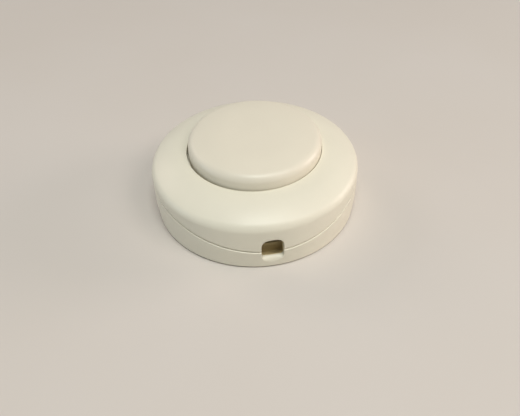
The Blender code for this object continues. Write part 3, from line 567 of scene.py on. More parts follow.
floor_top = FLOOR_THICKNESS
root = floor_top - BITE
drum_outer_radius = DRUM_BORE_RADIUS + DRUM_WALL
spring_low, spring_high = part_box("return_spring")
ledge_radius = spring_high.x + DRUM_WALL * 2 / 3
clamp_distance = middle_of("cord_clamp_rear").y
housing_screw_distance = middle_of("housing_screw_right").x
terminal_middle = middle_of("line_terminal_rear")
terminal_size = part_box("line_terminal_rear")[1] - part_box("line_terminal_rear")[0]
strip_low, strip_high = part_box("contact_strip_rear")
strip_outer = (strip_low.x + STRIP_HALF, terminal_middle.y)
print("the drum's radius is", round(drum_outer_radius * 1000, 2), "mm")

# %% Join the works to the base
def pocket(across, side):
    """The outer block of a terminal's pocket, and the tool that opens it upwards and towards the drum."""
    inner = abs(terminal_middle.x) - terminal_size.x / 2
    outer = abs(terminal_middle.x) + terminal_size.x / 2 + SHELL_GAP
    half = terminal_size.y / 2 + SHELL_GAP
    middle = side * terminal_middle.y
    top = floor_top + POCKET_HEIGHT
    near = (across * inner, middle - half - POCKET_WALL, root)
    far = (across * (outer + POCKET_WALL), middle + half + POCKET_WALL, top)
    body = block("pocket", near, far, SMALL_ROUND / 2)
    near = (across * (inner - PASS), middle - half, floor_top - GROOVE_DEPTH / 2)
    far = (across * outer, middle + half, top + PASS)
    return body, block("pocket_inside", near, far)


pockets = [pocket(across, side) for across in (-1, 1) for side in (-1, 1)]
additions = [
    ring("drum", DRUM_BORE_RADIUS, drum_outer_radius, root, drum_top, SMALL_ROUND),
    ring("ledge", DRUM_BORE_RADIUS + BITE, ledge_radius, root, floor_top + LEDGE_HEIGHT, SMALL_ROUND),
    cylinder("pin_boss", HUB_RADIUS, root, BOSS_TOP, rounding=SMALL_ROUND),
]
for side in (-1, 1):
    low = (-CLAMP_SPREAD, side * clamp_distance - CLAMP_WIDTH / 2 + SHELL_GAP, root)
    high = (CLAMP_SPREAD, side * clamp_distance + CLAMP_WIDTH / 2 - SHELL_GAP, SADDLE_TOP)
    additions.append(block("saddle", low, high, SMALL_ROUND))
    for across in (-1, 1):
        post = (across * CLAMP_SPREAD, side * clamp_distance)
        additions.append(cylinder("clamp_post", CLAMP_POST_RADIUS, root, CLAMP_POST_TOP, post, SMALL_ROUND))
    place = (side * housing_screw_distance, 0)
    boss_top = floor_top + HOUSING_BOSS_HEIGHT
    additions.append(cylinder("housing_boss", HOUSING_BOSS_RADIUS, root, boss_top, place, SMALL_ROUND))
additions += [body for body, inside in pockets]
boolean(base_moulding, additions, "UNION")
report(base_moulding)

# %% Cut the base's holes, channels and slots
pad_place = (strip_high.x - STRIP_HALF, strip_low.y + STRIP_HALF)
channel_bottom = floor_top - GROOVE_DEPTH
channel_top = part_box("contact_bridge")[1].z
housing_head_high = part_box("housing_screw_right")[1]
pin_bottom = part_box("pivot_pin")[0].z - SHELL_GAP
removals = [cylinder("pin_hole", PIN_BORE_RADIUS, pin_bottom, BOSS_TOP + PASS)]
removals += [inside for body, inside in pockets]
for side in (-1, 1):
    removals.append(slot_tool("base_slot", side))
    begin = (strip_outer[0], side * strip_outer[1])
    end = (pad_place[0], side * pad_place[1])
    half_width = STRIP_HALF + SHELL_GAP
    removals.append(strip("channel", begin, end, half_width, channel_bottom, channel_top))
    near = (side * (DRUM_BORE_RADIUS - PASS), -KEY_WIDTH / 2, drum_top - KEY_DEPTH)
    far = (side * (drum_outer_radius + PASS), KEY_WIDTH / 2, drum_top + PASS)
    removals.append(block("key_slot", near, far))
    for across in (-1, 1):
        post = (across * CLAMP_SPREAD, side * clamp_distance)
        bottom = CLAMP_POST_TOP - CLAMP_SCREW_HOLE_DEPTH
        removals.append(cylinder("clamp_screw_hole", SCREW_BORE_RADIUS, bottom, CLAMP_POST_TOP + PASS, post))
    place = (side * housing_screw_distance, 0)
    removals.append(cylinder("counterbore", COUNTERBORE_RADIUS, -PASS, COUNTERBORE_TOP, place))
    removals.append(cylinder("screw_hole", SCREW_BORE_RADIUS, COUNTERBORE_TOP - BITE, boss_top + PASS, place))
boolean(base_moulding, removals, "DIFFERENCE")
smooth(base_moulding)
report(base_moulding)

# %% [markdown]
# The cover is the upper moulding. From the button's hole outwards its section is a small fillet, the slightly
# rising crown, the large rounded shoulder, the wall, and the lower edge that follows the seam. Inside, the
# same arcs are drawn smaller by the wall's thickness. Two posts come down from it for the housing screws.

# %% Turn the cover
HOLE_FILLET = 0.00016
inner_crown_bend = crown_bend - COVER_WALL


def cover_section():
    """The cover's half section, with a level lower edge."""
    crown = (crown_centre, crown_centre_height)
    shoulder = (shoulder_centre, shoulder_start)
    edge_height = SEAM_LOW + SEAM_GAP
    work, first = start(hole_radius, housing_height)
    point = bend(work, first, crown, CROWN_OUTER_SLOPE - CROWN_INNER_SLOPE, 14)
    point = bend(work, point, shoulder, math.pi / 2 - CROWN_OUTER_SLOPE, 12)
    outer_corner, inner_corner, point = lines(
        work,
        point,
        (housing_radius, edge_height, wall_steps(shoulder_start, edge_height)),
        (cover_inner_radius, edge_height),
        (cover_inner_radius, shoulder_start, 3),
    )
    point = bend(work, point, shoulder, CROWN_OUTER_SLOPE - math.pi / 2, 5)
    inner_slope = math.asin((hole_radius - crown_centre) / inner_crown_bend)
    last = bend(work, point, crown, inner_slope - CROWN_OUTER_SLOPE, 6)
    work.edges.new((last, first))
    fillet(work, [outer_corner, inner_corner], EDGE_FILLET)
    fillet(work, [first], HOLE_FILLET)
    fillet(work, [last], SMALL_ROUND, 3)
    return work


work = cover_section()
turn(work)
follow_seam(work, shoulder_start, SEAM_LOW + SEAM_GAP + EDGE_FILLET)
cover_moulding = make_piece("cover_moulding", work)
report(cover_moulding)

# %% Add the cover's posts and cut its slots
POST_RADIUS = 0.0027


def cover_underside(radius):
    """The height of the cover's inner face at a radius under the crown."""
    return crown_centre_height + math.sqrt(inner_crown_bend**2 - (radius - crown_centre) ** 2)


post_bottom = boss_top + SHELL_GAP
post_top = cover_underside(housing_screw_distance - POST_RADIUS)
posts = []
removals = []
for side in (-1, 1):
    place = (side * housing_screw_distance, 0)
    posts.append(cylinder("cover_post", POST_RADIUS, post_bottom, post_top, place))
    removals.append(slot_tool("cover_slot", side))
    hole_top = housing_head_high.z + SHELL_GAP
    removals.append(cylinder("post_hole", SCREW_BORE_RADIUS, post_bottom - PASS, hole_top, place))
boolean(cover_moulding, posts, "UNION")
boolean(cover_moulding, removals, "DIFFERENCE")
smooth(cover_moulding)
report(cover_moulding)

# %% [markdown]
# The button is a thick cap: a top that is nearly flat in its middle and falls off towards its edge, a
# fillet, a straight wall, and a flange below that the cover holds back. Under the top are a socket for the
# plunger's stem, a collar that centres the spring, and six short ribs. The whole cap sits a quarter of a
# millimetre to the right in its hole, as the picture shows by the dark crescent at its left. The solid keeps
# a wider play, and the dressed cap fits closer.

# %% Turn the button's cap
BUTTON_FILLET = 0.0024
MIDDLE_RADIUS = 0.0090
MIDDLE_SLOPE = math.radians(1.5)
DOME_SLOPE = math.radians(11)
CAP_DEPTH = 0.0027
CAP_FIT = 0.0002
SKIRT_WALL = 0.0016
FLANGE_THICKNESS = 0.0012
STEM_RADIUS = 0.0034
SOCKET_WALL = 0.0014
SOCKET_DEPTH = 0.0040
COLLAR_WALL = 0.0008
COLLAR_DEPTH = 0.0022
RIB_COUNT = 6
RIB_THICKNESS = 0.0010
RIB_DEPTH = 0.0015
WIRE_RADIUS = 0.00045

cap_radius = button_radius + CAP_FIT
middle_bend = MIDDLE_RADIUS / math.sin(MIDDLE_SLOPE)
middle_edge_height = button_top - middle_bend * (1 - math.cos(MIDDLE_SLOPE))
dome_edge = cap_radius - BUTTON_FILLET * (1 - math.sin(DOME_SLOPE))
dome_bend = (dome_edge - MIDDLE_RADIUS) / (math.sin(DOME_SLOPE) - math.sin(MIDDLE_SLOPE))
dome_centre = MIDDLE_RADIUS - dome_bend * math.sin(MIDDLE_SLOPE)
dome_centre_height = middle_edge_height - dome_bend * math.cos(MIDDLE_SLOPE)
fillet_height = dome_centre_height + (dome_bend - BUTTON_FILLET) * math.cos(DOME_SLOPE)
cap_underside = button_top - CAP_DEPTH
skirt_inner_radius = cap_radius - SKIRT_WALL
flange_top = flange_bottom + FLANGE_THICKNESS


def cap_section():
    """The button's half section from the middle of its top round to the middle of its underside."""
    work, point = start(0, button_top)
    point = bend(work, point, (0, button_top - middle_bend), MIDDLE_SLOPE, 5)
    point = bend(work, point, (dome_centre, dome_centre_height), DOME_SLOPE - MIDDLE_SLOPE, 8)
    centre = (cap_radius - BUTTON_FILLET, fillet_height)
    point = bend(work, point, centre, math.pi / 2 - DOME_SLOPE, 12)
    _, upper_corner, lower_corner, _, inner_corner, _ = lines(
        work,
        point,
        (cap_radius, flange_top, 3),
        (flange_radius, flange_top),
        (flange_radius, flange_bottom),
        (skirt_inner_radius, flange_bottom),
        (skirt_inner_radius, cap_underside),
        (0, cap_underside),
    )
    fillet(work, [upper_corner, lower_corner], SMALL_ROUND, 3)
    fillet(work, [inner_corner], INNER_FILLET)
    return work


work = cap_section()
turn(work)
button_cap = make_piece("button_cap", work)
cap_root = cap_underside + BITE
socket_inner = STEM_RADIUS + SHELL_GAP
collar_outer = -spring_low.x - 2 * WIRE_RADIUS - SHELL_GAP
additions = [
    ring("socket", socket_inner, socket_inner + SOCKET_WALL, cap_underside - SOCKET_DEPTH, cap_root),
    ring("collar", collar_outer - COLLAR_WALL, collar_outer, cap_underside - COLLAR_DEPTH, cap_root),
]
rib_start = spring_high.x + WIRE_RADIUS
for index in range(RIB_COUNT):
    low = (rib_start, -RIB_THICKNESS / 2, cap_underside - RIB_DEPTH)
    high = (skirt_inner_radius + BITE, RIB_THICKNESS / 2, cap_root)
    rib = block("rib", low, high)
    rib.data.transform(Matrix.Rotation(math.tau * index / RIB_COUNT, 4, "Z"))
    additions.append(rib)
boolean(button_cap, additions, "UNION")
button_cap.data.transform(Matrix.Translation((button_shift, 0, 0)))
smooth(button_cap)
report(button_cap)

# %% [markdown]
# The return spring is drawn wire, wound with one close turn at each end and ground flat there. Its section, a
# circle, is spun round the Z axis while each step also moves it up, which is how a screw thread grows too.
# Two cuts with a plane then grind the ends.

# %% Wind the return spring
WIRE_STEPS = 16
COIL_STEPS = 48
COIL_TURNS = 6
END_PITCH = 0.00125
GRIND = 0.00012


def wind(work, section, turns, rise, steps):
    """Carries a section round the axis for some turns, each with a rise and steps, and returns its end."""
    made = bmesh.ops.spin(
        work,
        geom=section,
        cent=(0, 0, 0),
        axis=(0, 0, 1),
        dvec=(0, 0, rise / steps),
        angle=math.tau * turns,
        steps=steps * turns,
    )
    return made["geom_last"]


def grind(work, height, facing):
    """Cuts a body off at a height and closes it with a flat face."""
    bmesh.ops.bisect_plane(
        work,
        geom=work.verts[:] + work.edges[:] + work.faces[:],
        plane_co=(0, 0, height),
        plane_no=(0, 0, facing),
        clear_outer=True,
    )
    fill_openings(work)


coil_radius = (spring_high.x - spring_low.x) / 2 - WIRE_RADIUS
coil_start = spring_low.z + WIRE_RADIUS - GRIND
coil_end = spring_high.z - WIRE_RADIUS + GRIND
free_pitch = (coil_end - coil_start - 2 * END_PITCH) / (COIL_TURNS - 2)
work = bmesh.new()
bmesh.ops.create_circle(work, segments=WIRE_STEPS, radius=WIRE_RADIUS)
rotate(work, math.pi / 2, "X")
bmesh.ops.translate(work, verts=work.verts, vec=(coil_radius, 0, coil_start))
section = work.verts[:] + work.edges[:]
for turns, pitch in ((1, END_PITCH), (COIL_TURNS - 2, free_pitch), (1, END_PITCH)):
    section = wind(work, section, turns, pitch, COIL_STEPS)
fill_openings(work)
grind(work, spring_low.z, -1)
grind(work, spring_high.z, 1)
bmesh.ops.recalc_face_normals(work, faces=work.faces)
spring_coil = make_piece("spring_coil", work)
smooth(spring_coil)
report(spring_coil)

# %% [markdown]
# The screws are zinc-plated steel with a thread, a rounded head and a crossed recess. The thread is one tooth
# of the thread's section, spun down the axis turn by turn: the lower end of each turn lies on the upper end
# of the next, so that merging doubles closes the skin. The ends are cut off flat, the tip is drawn in, and
# the head, itself a turned shape, is united with the shank.

# %% Cut threads and heads
THREAD_STEPS = 24
THREAD_PITCH = 0.0006
THREAD_ROOT = 0.00092
THREAD_CREST = 0.0012
THREAD_TOOTH = ((THREAD_ROOT, 0.2), (THREAD_CREST, 0.5), (THREAD_CREST, 0.6), (THREAD_ROOT, 0.9))
THREAD_LEAD = 0.000013
TIP_LENGTH = 0.0005
TIP_TAPER = 0.55
HEAD_HEIGHT = 0.0013
HEAD_ROUND = 0.00055
RECESS_DEPTH = 0.0008
RECESS_WIDTH = 0.00055
RECESS_SHARE = 0.62
RECESS_TAPER = (0.45, 0.7)
SCREW_TURN = math.radians(23)


def threaded_shank(length):
    """A threaded shank that hangs down from z = 0."""
    reach = length - TIP_LENGTH
    turns = math.ceil(reach / THREAD_PITCH) + 3
    top = 2 * THREAD_PITCH + THREAD_LEAD
    work, point = start(THREAD_ROOT, top)
    for radius, share in THREAD_TOOTH:
        point = line(work, point, radius, top - THREAD_PITCH * share)
    line(work, point, THREAD_ROOT, top - THREAD_PITCH)
    wind(work, work.verts[:] + work.edges[:], turns, -THREAD_PITCH, THREAD_STEPS)
    bmesh.ops.remove_doubles(work, verts=work.verts, dist=WELD)
    grind(work, THREAD_PITCH / 2, 1)
    grind(work, -reach, -1)
    tip = [face for face in work.faces if all(vertex.co.z < WELD - reach for vertex in face.verts)]
    low = verts_of(bmesh.ops.extrude_face_region(work, geom=tip))
    bmesh.ops.delete(work, geom=tip, context="FACES_ONLY")
    bmesh.ops.translate(work, verts=low, vec=(0, 0, -TIP_LENGTH))
    bmesh.ops.scale(work, verts=low, vec=(TIP_TAPER, TIP_TAPER, 1))
    bmesh.ops.recalc_face_normals(work, faces=work.faces)
    return make_piece("shank", work)


def screw_head(radius):
    """A pan head on z = 0."""
    work, point = start(0, HEAD_HEIGHT)
    corner = lines(work, point, (radius, HEAD_HEIGHT), (radius, 0), (0, 0))[0]
    fillet(work, [corner], HEAD_ROUND)
    turn(work, TOOL_STEPS)
    return make_piece("head", work)


def recess_tool(radius, quarter):
    """One bar of the crossed recess, tapered towards its bottom."""
    half = radius * RECESS_SHARE
    depth = RECESS_DEPTH + quarter * THREAD_LEAD
    low = (-half, -RECESS_WIDTH / 2, HEAD_HEIGHT - depth)
    high = (half, RECESS_WIDTH / 2, HEAD_HEIGHT + BITE)
    bar = block("recess", low, high)
    for vertex in bar.data.vertices:
        if vertex.co.z < HEAD_HEIGHT:
            vertex.co.x *= RECESS_TAPER[0]
            vertex.co.y *= RECESS_TAPER[1]
    bar.data.transform(Matrix.Rotation(quarter * math.pi / 2, 4, "Z"))
    return bar


patterns = {}


def screw_pattern(radius, length):
    """A finished screw on z = 0. Screws of one kind are made from one pattern."""
    kind = (round(radius, 5), round(length, 5))
    if kind not in patterns:
        piece = screw_head(radius)
        boolean(piece, [threaded_shank(length)], "UNION")
        boolean(piece, [recess_tool(radius, 0), recess_tool(radius, 1)], "DIFFERENCE")
        smooth(piece)
        patterns[kind] = piece
    return patterns[kind]


def screw(name, node, turned_by):
    """A screw in a node's place, turned to where its thread was tightened."""
    low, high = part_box(node)
    upward = node.startswith("housing")
    pattern = screw_pattern((high.x - low.x) / 2, high.z - low.z - HEAD_HEIGHT)
    piece = add_object(name, pattern.data.copy())
    seat = low.z + HEAD_HEIGHT if upward else high.z - HEAD_HEIGHT
    middle = middle_of(node)
    flip = Matrix.Rotation(math.pi if upward else 0, 4, "X")
    place = Matrix.Translation((middle.x, middle.y, seat))
    piece.data.transform(place @ flip @ Matrix.Rotation(turned_by, 4, "Z"))
    return piece


screws = {}
for index, node in enumerate(sorted(name for name in frame["nodes"] if "screw" in name)):
    screws[node] = screw(node + "_threaded", node, SCREW_TURN * index)
for pattern in patterns.values():
    report(pattern)
    bpy.data.objects.remove(pattern)

# %% [markdown]
# The small works keep their own shapes: teeth, keys, arms and bores are already right. A sharp edge is what
# gives a computed solid away, so each gets a fine break along its edges, as a press or a moulding tool leaves
# it. A copy of the solid is first welded, because it comes as loose triangles, and flat areas are merged into
# single faces, so that the bevel only finds real edges.

# %% Break the edges of the works
def refined(name, node, size):
    """A copy of a node's solid with its sharp edges broken."""
    work = bmesh.new()
    work.from_mesh(frame["nodes"][node].data)
    bmesh.ops.remove_doubles(work, verts=work.verts, dist=WELD / 4)
    bmesh.ops.dissolve_limit(
        work, angle_limit=math.radians(1), verts=work.verts, edges=work.edges, use_dissolve_boundaries=False
    )
    sharp = [edge for edge in work.edges if edge.is_manifold and edge.calc_face_angle() > SHARP_ANGLE]
    round_edges(work, sharp, size)
    bmesh.ops.recalc_face_normals(work, faces=work.faces)
    piece = make_piece(name, work)
    smooth(piece)
    return piece


FINE_BREAK = 0.00008
CLAMP_BREAK = 0.00016
small_works = {
    "plunger": "plunger_crown",
    "contact_rotor": "rotor_wheel",
    "contact_bridge": "bridge_spring",
    "pivot_pin": "pin_turned",
    "neutral_link": "link_block",
}
for place in ("front", "rear"):
    small_works["contact_strip_" + place] = "strip_" + place
    small_works["line_terminal_" + place] = "terminal_" + place
    small_works["cord_clamp_" + place] = "clamp_bar_" + place
works = {}
for node, name in small_works.items():
    works[node] = refined(name, node, CLAMP_BREAK if "clamp" in node else FINE_BREAK)
    report(works[node])

# %% [markdown]
# The housing is a satin cream plastic. Up close such a moulding isn't perfectly even: the tool is finely
# spark-eroded, so the surface has a very fine grain that softens the highlights, the gloss varies a little
# where hands and cloths have rubbed it, and the pigment is mottled by a hardly visible amount. All three are
# noise patterns on Object coordinates, at the scale of the real thing: tenths of a millimetre for the grain
# and centimetres for the rest.

# %% Mix the plastics
NOISE_MIDDLE = (0.3, 0.7)
MOTTLE_SCALE = 90
MOTTLE_RANGE = (0.985, 1.012)
RUBBED_SCALE = 60
COARSE_GRAIN_SCALE = 700
FINE_GRAIN_SCALE = 4200
GRAIN_DEPTH = 0.000012
PLASTIC_IOR = 1.5


def new_nodes(name):
    """A new material, with its node tree and its Principled shader."""
    material = bpy.data.materials.new(name)
    material.use_nodes = True
    tree = material.node_tree
    shader = tree.nodes["Principled BSDF"]
    return material, tree, shader


def add(tree, kind, **settings):
    """Adds a node with its settings. A setting that is an input's name sets that input."""
    node = tree.nodes.new(kind)
    for key, value in settings.items():
        label = key.replace("_", " ").title()
        if hasattr(node, key):
            setattr(node, key, value)
        else:
            node.inputs[label].default_value = value
    return node


def object_noise(tree, scale, detail, stretch=(1, 1, 1)):
    """Noise on the piece's own Object coordinates, at a scale in cells for each metre."""
    coordinates = add(tree, "ShaderNodeTexCoord")
    mapping = add(tree, "ShaderNodeMapping", scale=stretch)
    noise = add(tree, "ShaderNodeTexNoise", scale=scale, detail=detail)
    tree.links.new(coordinates.outputs["Object"], mapping.inputs["Vector"])
    tree.links.new(mapping.outputs["Vector"], noise.inputs["Vector"])
    return noise.outputs["Fac"]


def vary(tree, factor, low, high):
    """Maps a noise's middle range onto values between low and high."""
    begin, end = NOISE_MIDDLE
    node = add(tree, "ShaderNodeMapRange", from_min=begin, from_max=end, to_min=low, to_max=high)
    tree.links.new(factor, node.inputs["Value"])
    return node.outputs["Result"]


def two_colours(tree, shader, noise, first, second, share=1):
    """Colours a shader with one colour and, by a noise, up to a share of a second one."""
    node = add(tree, "ShaderNodeMix", data_type="RGBA")
    colour_sockets = [socket for socket in node.inputs if socket.type == "RGBA"]
    colour_sockets[0].default_value = (*first, 1)
    colour_sockets[1].default_value = (*second, 1)
    tree.links.new(vary(tree, noise, 0, share), node.inputs["Factor"])
    mixed = next(socket for socket in node.outputs if socket.type == "RGBA")
    tree.links.new(mixed, shader.inputs["Base Color"])


def bump(tree, shader, heights):
    """Chains bumps of (height, depth in metres) into the shader's normal."""
    nodes = [add(tree, "ShaderNodeBump", distance=depth) for _, depth in heights]
    for node, (height, _), receiver in zip(nodes, heights, nodes[1:] + [shader]):
        tree.links.new(height, node.inputs["Height"])
        tree.links.new(node.outputs["Normal"], receiver.inputs["Normal"])


def satin_plastic(name, colour, roughness, grain=GRAIN_DEPTH):
    """A moulded plastic with a fine eroded grain."""
    material, tree, shader = new_nodes(name)
    deeper, paler = ([value * share for value in colour] for share in MOTTLE_RANGE)
    two_colours(tree, shader, object_noise(tree, MOTTLE_SCALE, 4), deeper, paler)
    rubbed = object_noise(tree, RUBBED_SCALE, 3)
    tree.links.new(vary(tree, rubbed, roughness - 0.04, roughness + 0.05), shader.inputs["Roughness"])
    fine = object_noise(tree, FINE_GRAIN_SCALE, 3)
    coarse = object_noise(tree, COARSE_GRAIN_SCALE, 2)
    bump(tree, shader, [(coarse, grain / 2), (fine, grain)])
    shader.inputs["IOR"].default_value = PLASTIC_IOR
    return material


CREAM = (0.80, 0.775, 0.655)
BUTTON_CREAM = (0.785, 0.745, 0.63)
INNER_WHITE = (0.78, 0.77, 0.73)
housing_plastic = satin_plastic("cream_housing_plastic", CREAM, 0.40)
button_plastic = satin_plastic("cream_button_plastic", BUTTON_CREAM, 0.38)
inner_plastic = satin_plastic("white_mechanism_plastic", INNER_WHITE, 0.5)
# Painted shade: the shells' insides get a deeper, browner cream that stands in for the shade inside the
# housing.
INSIDE_SHADE_CREAM = (0.68, 0.57, 0.33)
INSIDE_GRAIN = 0.00002
inside_shade_plastic = satin_plastic("cream_inside_with_painted_shade", INSIDE_SHADE_CREAM, 0.6, INSIDE_GRAIN)
print("plastics:", housing_plastic.name, button_plastic.name, inner_plastic.name, inside_shade_plastic.name)

# %% [markdown]
# The metals are brass for the contacts and steel for the spring and the screws. Stamped brass has fine
# rolling lines along the sheet and a faint brown bloom. Drawn wire has lines along its length, and zinc
# plating is a little blotchy and blue. A noise that is stretched by its Mapping node makes the lines.

# %% Mix the metals
BLOOM_SCALE = 350
BLOOM_SHARE = 0.5
LINE_SCALE = 1500
LINE_DEPTH = 0.000003


def metal(name, colour, bloom, roughness, stretch):
    """A metal with fine lines along one direction and a faint bloom of a second colour."""
    material, tree, shader = new_nodes(name)
    shader.inputs["Metallic"].default_value = 1
    two_colours(tree, shader, object_noise(tree, BLOOM_SCALE, 4), colour, bloom, BLOOM_SHARE)
    lines = object_noise(tree, LINE_SCALE, 3, stretch)
    tree.links.new(vary(tree, lines, roughness - 0.06, roughness + 0.08), shader.inputs["Roughness"])
    bump(tree, shader, [(lines, LINE_DEPTH)])
    return material


BRASS = (0.71, 0.53, 0.24)
BRASS_BLOOM = (0.52, 0.34, 0.14)
WIRE_STEEL = (0.60, 0.60, 0.62)
WIRE_BLOOM = (0.44, 0.43, 0.44)
ZINC = (0.66, 0.66, 0.68)
ZINC_BLOOM = (0.52, 0.55, 0.62)
brass = metal("stamped_brass", BRASS, BRASS_BLOOM, 0.30, (0.1, 4, 1))
wire_steel = metal("drawn_wire_steel", WIRE_STEEL, WIRE_BLOOM, 0.32, (1, 1, 6))
zinc_steel = metal("zinc_plated_steel", ZINC, ZINC_BLOOM, 0.34, (1, 1, 1))
print("metals:", brass.name, wire_steel.name, zinc_steel.name)

# %% [markdown]
# Now each piece takes the finish that the record gives its solid, and the body that it moves with, and the
# solid is hidden. The insides of the two shells get a material of their own: duller, because that half of the
# tool isn't polished, and painted a deeper, browner cream that stands in for the shade inside the housing, as
# one sees it through the slot. The spring stands on its ledge and is attached to the housing, with a mesh of
# its own.

# %% Hand every piece its finish and its body
finishes = {
    "housing_plastic": housing_plastic,
    "button_plastic": button_plastic,
    "inner_plastic": inner_plastic,
    "contact_brass": brass,
    "spring_steel": wire_steel,
    "screw_steel": zinc_steel,
}
slot_of = {part["node"]: part["material_slot"] for part in frame["record"]["subparts"]}
bodies = frame["record"]["behaviour"]["bodies"]
body_of = {node: body for body, nodes in bodies.items() for node in nodes}


def dress(piece, node):
    """Gives a piece a node's finish and body, and puts it in the node's place."""
    slot = slot_of[node]
    piece.data.materials.clear()
    piece.data.materials.append(finishes[slot])
    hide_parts(node)
    if node != "return_spring":
        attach(piece, body_of[node])


dressed = {
    "base_shell": base_moulding,
    "top_cover": cover_moulding,
    "push_button": button_cap,
    "return_spring": spring_coil,
    **screws,
    **works,
}
for node, piece in dressed.items():
    dress(piece, node)

inside_radius = housing_radius - FLARE_DEPTH - WELD
INWARD_SLANT = -0.2


def paint_inside_shade(piece, is_inside):
    """Gives the faces inside a shell the duller inside material, whose deeper cream is painted shade."""
    piece.data.materials.append(inside_shade_plastic)
    for face in piece.data.polygons:
        if face.center.xy.length < inside_radius and is_inside(face):
            face.material_index = 1


def faces_inwards(face):
    """Whether a face of the cover looks down or towards the axis, apart from the rim of the button's hole."""
    outwards = face.normal.xy.dot(face.center.xy.normalized())
    beyond_rim = face.center.xy.length > hole_radius + SMALL_ROUND
    return beyond_rim and min(face.normal.z, outwards) < INWARD_SLANT


# Painted shade: the faces inside both shells take the deeper cream that stands in for the shade inside the
# housing.
paint_inside_shade(base_moulding, lambda face: face.center.z > floor_top - BITE)
paint_inside_shade(cover_moulding, faces_inwards)

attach(spring_coil, "housing")
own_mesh(spring_coil)

# %% [markdown]
# The switch stands on plain pale paper. The floor is one large flat sheet with a soft mottling that is too
# faint to read as a pattern.

# %% Lay the floor
FLOOR_SIZE = 4.0
FLOOR_COLOUR = (0.652, 0.614, 0.573)
FLOOR_SECOND = (0.668, 0.634, 0.600)
PAPER_SCALE = 12

work = bmesh.new()
bmesh.ops.create_grid(work, x_segments=8, y_segments=8, size=FLOOR_SIZE / 2)
floor = make_piece("paper_floor", work)
floor_material, tree, shader = new_nodes("pale_paper")
two_colours(tree, shader, object_noise(tree, PAPER_SCALE, 3), FLOOR_COLOUR, FLOOR_SECOND)
shader.inputs["Roughness"].default_value = 0.9
shader.inputs["Specular IOR Level"].default_value = 0.2
floor.data.materials.append(floor_material)
floor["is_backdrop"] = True
print("floor", FLOOR_SIZE, "m square")

# %% [markdown]
# The light is a studio's: one large soft lamp overhead gives the tops their brightness, a warm and a cool
# one stand low at the right and the left, and two more fill in from the front and from behind. The room
# itself adds only a little, so that walls and gaps stay darker than the tops. What the camera or a gloss
# sees of the room is paler than what lights the switch, and Light Path tells the two apart.

# %% Set the light
LAMP_DISTANCE = 0.95
LAMP_SIZE = 0.38
ROOM_LIGHT = 0.15
ROOM_SEEN = 0.45
ROOM_COLOUR = (1.0, 0.98, 0.94)


def soft_lamp(name, tilt, azimuth, power, colour):
    """A square lamp that points at the switch, tilted from the zenith towards an azimuth, in degrees."""
    data = bpy.data.lights.new(name, "AREA")
    data.shape = "SQUARE"
    data.size = LAMP_SIZE
    data.energy = power
    data.color = colour
    lamp = add_object(name, data)
    tilted = Matrix.Rotation(math.radians(tilt), 3, "Y") @ Vector((0, 0, LAMP_DISTANCE))
    lamp.location = Matrix.Rotation(math.radians(azimuth), 3, "Z") @ tilted
    lamp.rotation_mode = "QUATERNION"
    lamp.rotation_quaternion = (-lamp.location).to_track_quat("-Z", "Y")
    lamp.visible_camera = False


soft_lamp("overhead_lamp", 20, -90, 4.62, (0.97, 0.992, 0.945))
soft_lamp("right_lamp", 78, 0, 3.4, (1.0, 0.808, 0.72))
soft_lamp("back_lamp", 60, 135, 1.5, (1.0, 0.812, 0.70))
soft_lamp("left_lamp", 78, 180, 0.75, (0.45, 0.75, 1.0))
soft_lamp("front_lamp", 40, -45, 2.28, (1.0, 0.908, 0.833))

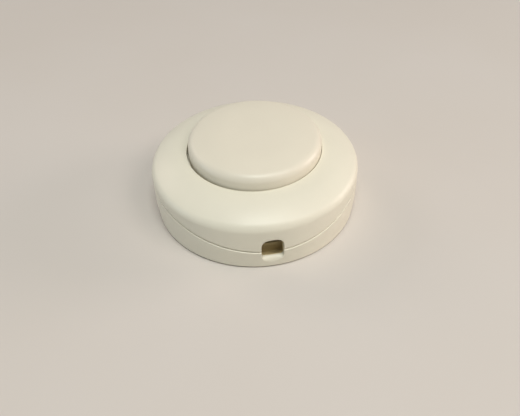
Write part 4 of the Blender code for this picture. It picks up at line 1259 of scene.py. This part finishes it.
world = bpy.data.worlds.new("soft_room")
bpy.context.scene.world = world
world.use_nodes = True
tree = world.node_tree
background = tree.nodes["Background"]
background.inputs["Color"].default_value = (*ROOM_COLOUR, 1)
path = add(tree, "ShaderNodeLightPath")
seen = path.outputs["Is Camera Ray"]
for other in ("Is Glossy Ray", "Is Transmission Ray"):
    either = add(tree, "ShaderNodeMath", operation="MAXIMUM")
    tree.links.new(seen, either.inputs[0])
    tree.links.new(path.outputs[other], either.inputs[1])
    seen = either.outputs[0]
level = add(tree, "ShaderNodeMapRange", to_min=ROOM_LIGHT, to_max=ROOM_SEEN)
tree.links.new(seen, level.inputs["Value"])
tree.links.new(level.outputs["Result"], background.inputs["Strength"])
bpy.context.scene.view_settings.view_transform = "Standard"
print("room light", ROOM_LIGHT)

# %% [markdown]
# The camera looks down at the switch from the front and a little from its left, from less than twenty
# centimetres away, which gives the strong perspective of the picture. Its distance, height, roll and lens
# were found by fitting the picture's outlines. The switch isn't in the middle of the picture, so the camera
# turns until the switch's middle falls where the picture has it.

# %% Place the camera
PICTURE_SIZE = (520, 416)
FOCAL_PIXELS = 603.8
TARGET_PIXEL = (255.0, 171.0)
TARGET = Vector((0, 0, 0.010))
DISTANCE = 0.180
ELEVATION = math.radians(39.4)
AZIMUTH = math.radians(-7.7)
ROLL = math.radians(2.15)
SENSOR_WIDTH = 36.0

right = Vector((math.cos(AZIMUTH), math.sin(AZIMUTH), 0))
outwards = Vector((math.sin(AZIMUTH), -math.cos(AZIMUTH), 0))
back = outwards * math.cos(ELEVATION) + Vector((0, 0, math.sin(ELEVATION)))
level_view = Matrix((right, back.cross(right), back))
across = (TARGET_PIXEL[0] - PICTURE_SIZE[0] / 2) / FOCAL_PIXELS
down = (TARGET_PIXEL[1] - PICTURE_SIZE[1] / 2) / FOCAL_PIXELS
aside = Vector((0, 0, -1)).rotation_difference(Vector((across, -down, -1)))
to_camera = aside.to_matrix() @ Matrix.Rotation(ROLL, 3, "Z") @ level_view

camera_data = bpy.data.cameras.new("camera")
camera_data.sensor_width = SENSOR_WIDTH
camera_data.lens = FOCAL_PIXELS / PICTURE_SIZE[0] * SENSOR_WIDTH
camera_data.clip_start = 0.01
camera_data.clip_end = 20
camera = add_object("camera", camera_data)
camera.matrix_world = Matrix.Translation(TARGET + back * DISTANCE) @ to_camera.transposed().to_4x4()
bpy.context.scene.camera = camera
print("lens", round(camera_data.lens, 1), "mm")

# %% [markdown]
# At the end the size of the dressed switch is printed beside the size of its solids, so that the two can be
# compared.

# %% Measure and finish
visual_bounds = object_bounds()
for title, (low, high) in (("solids", cad_bounds), ("dressed", visual_bounds)):
    print(title, [round(value * 1000, 2) for value in (*low, *high)])
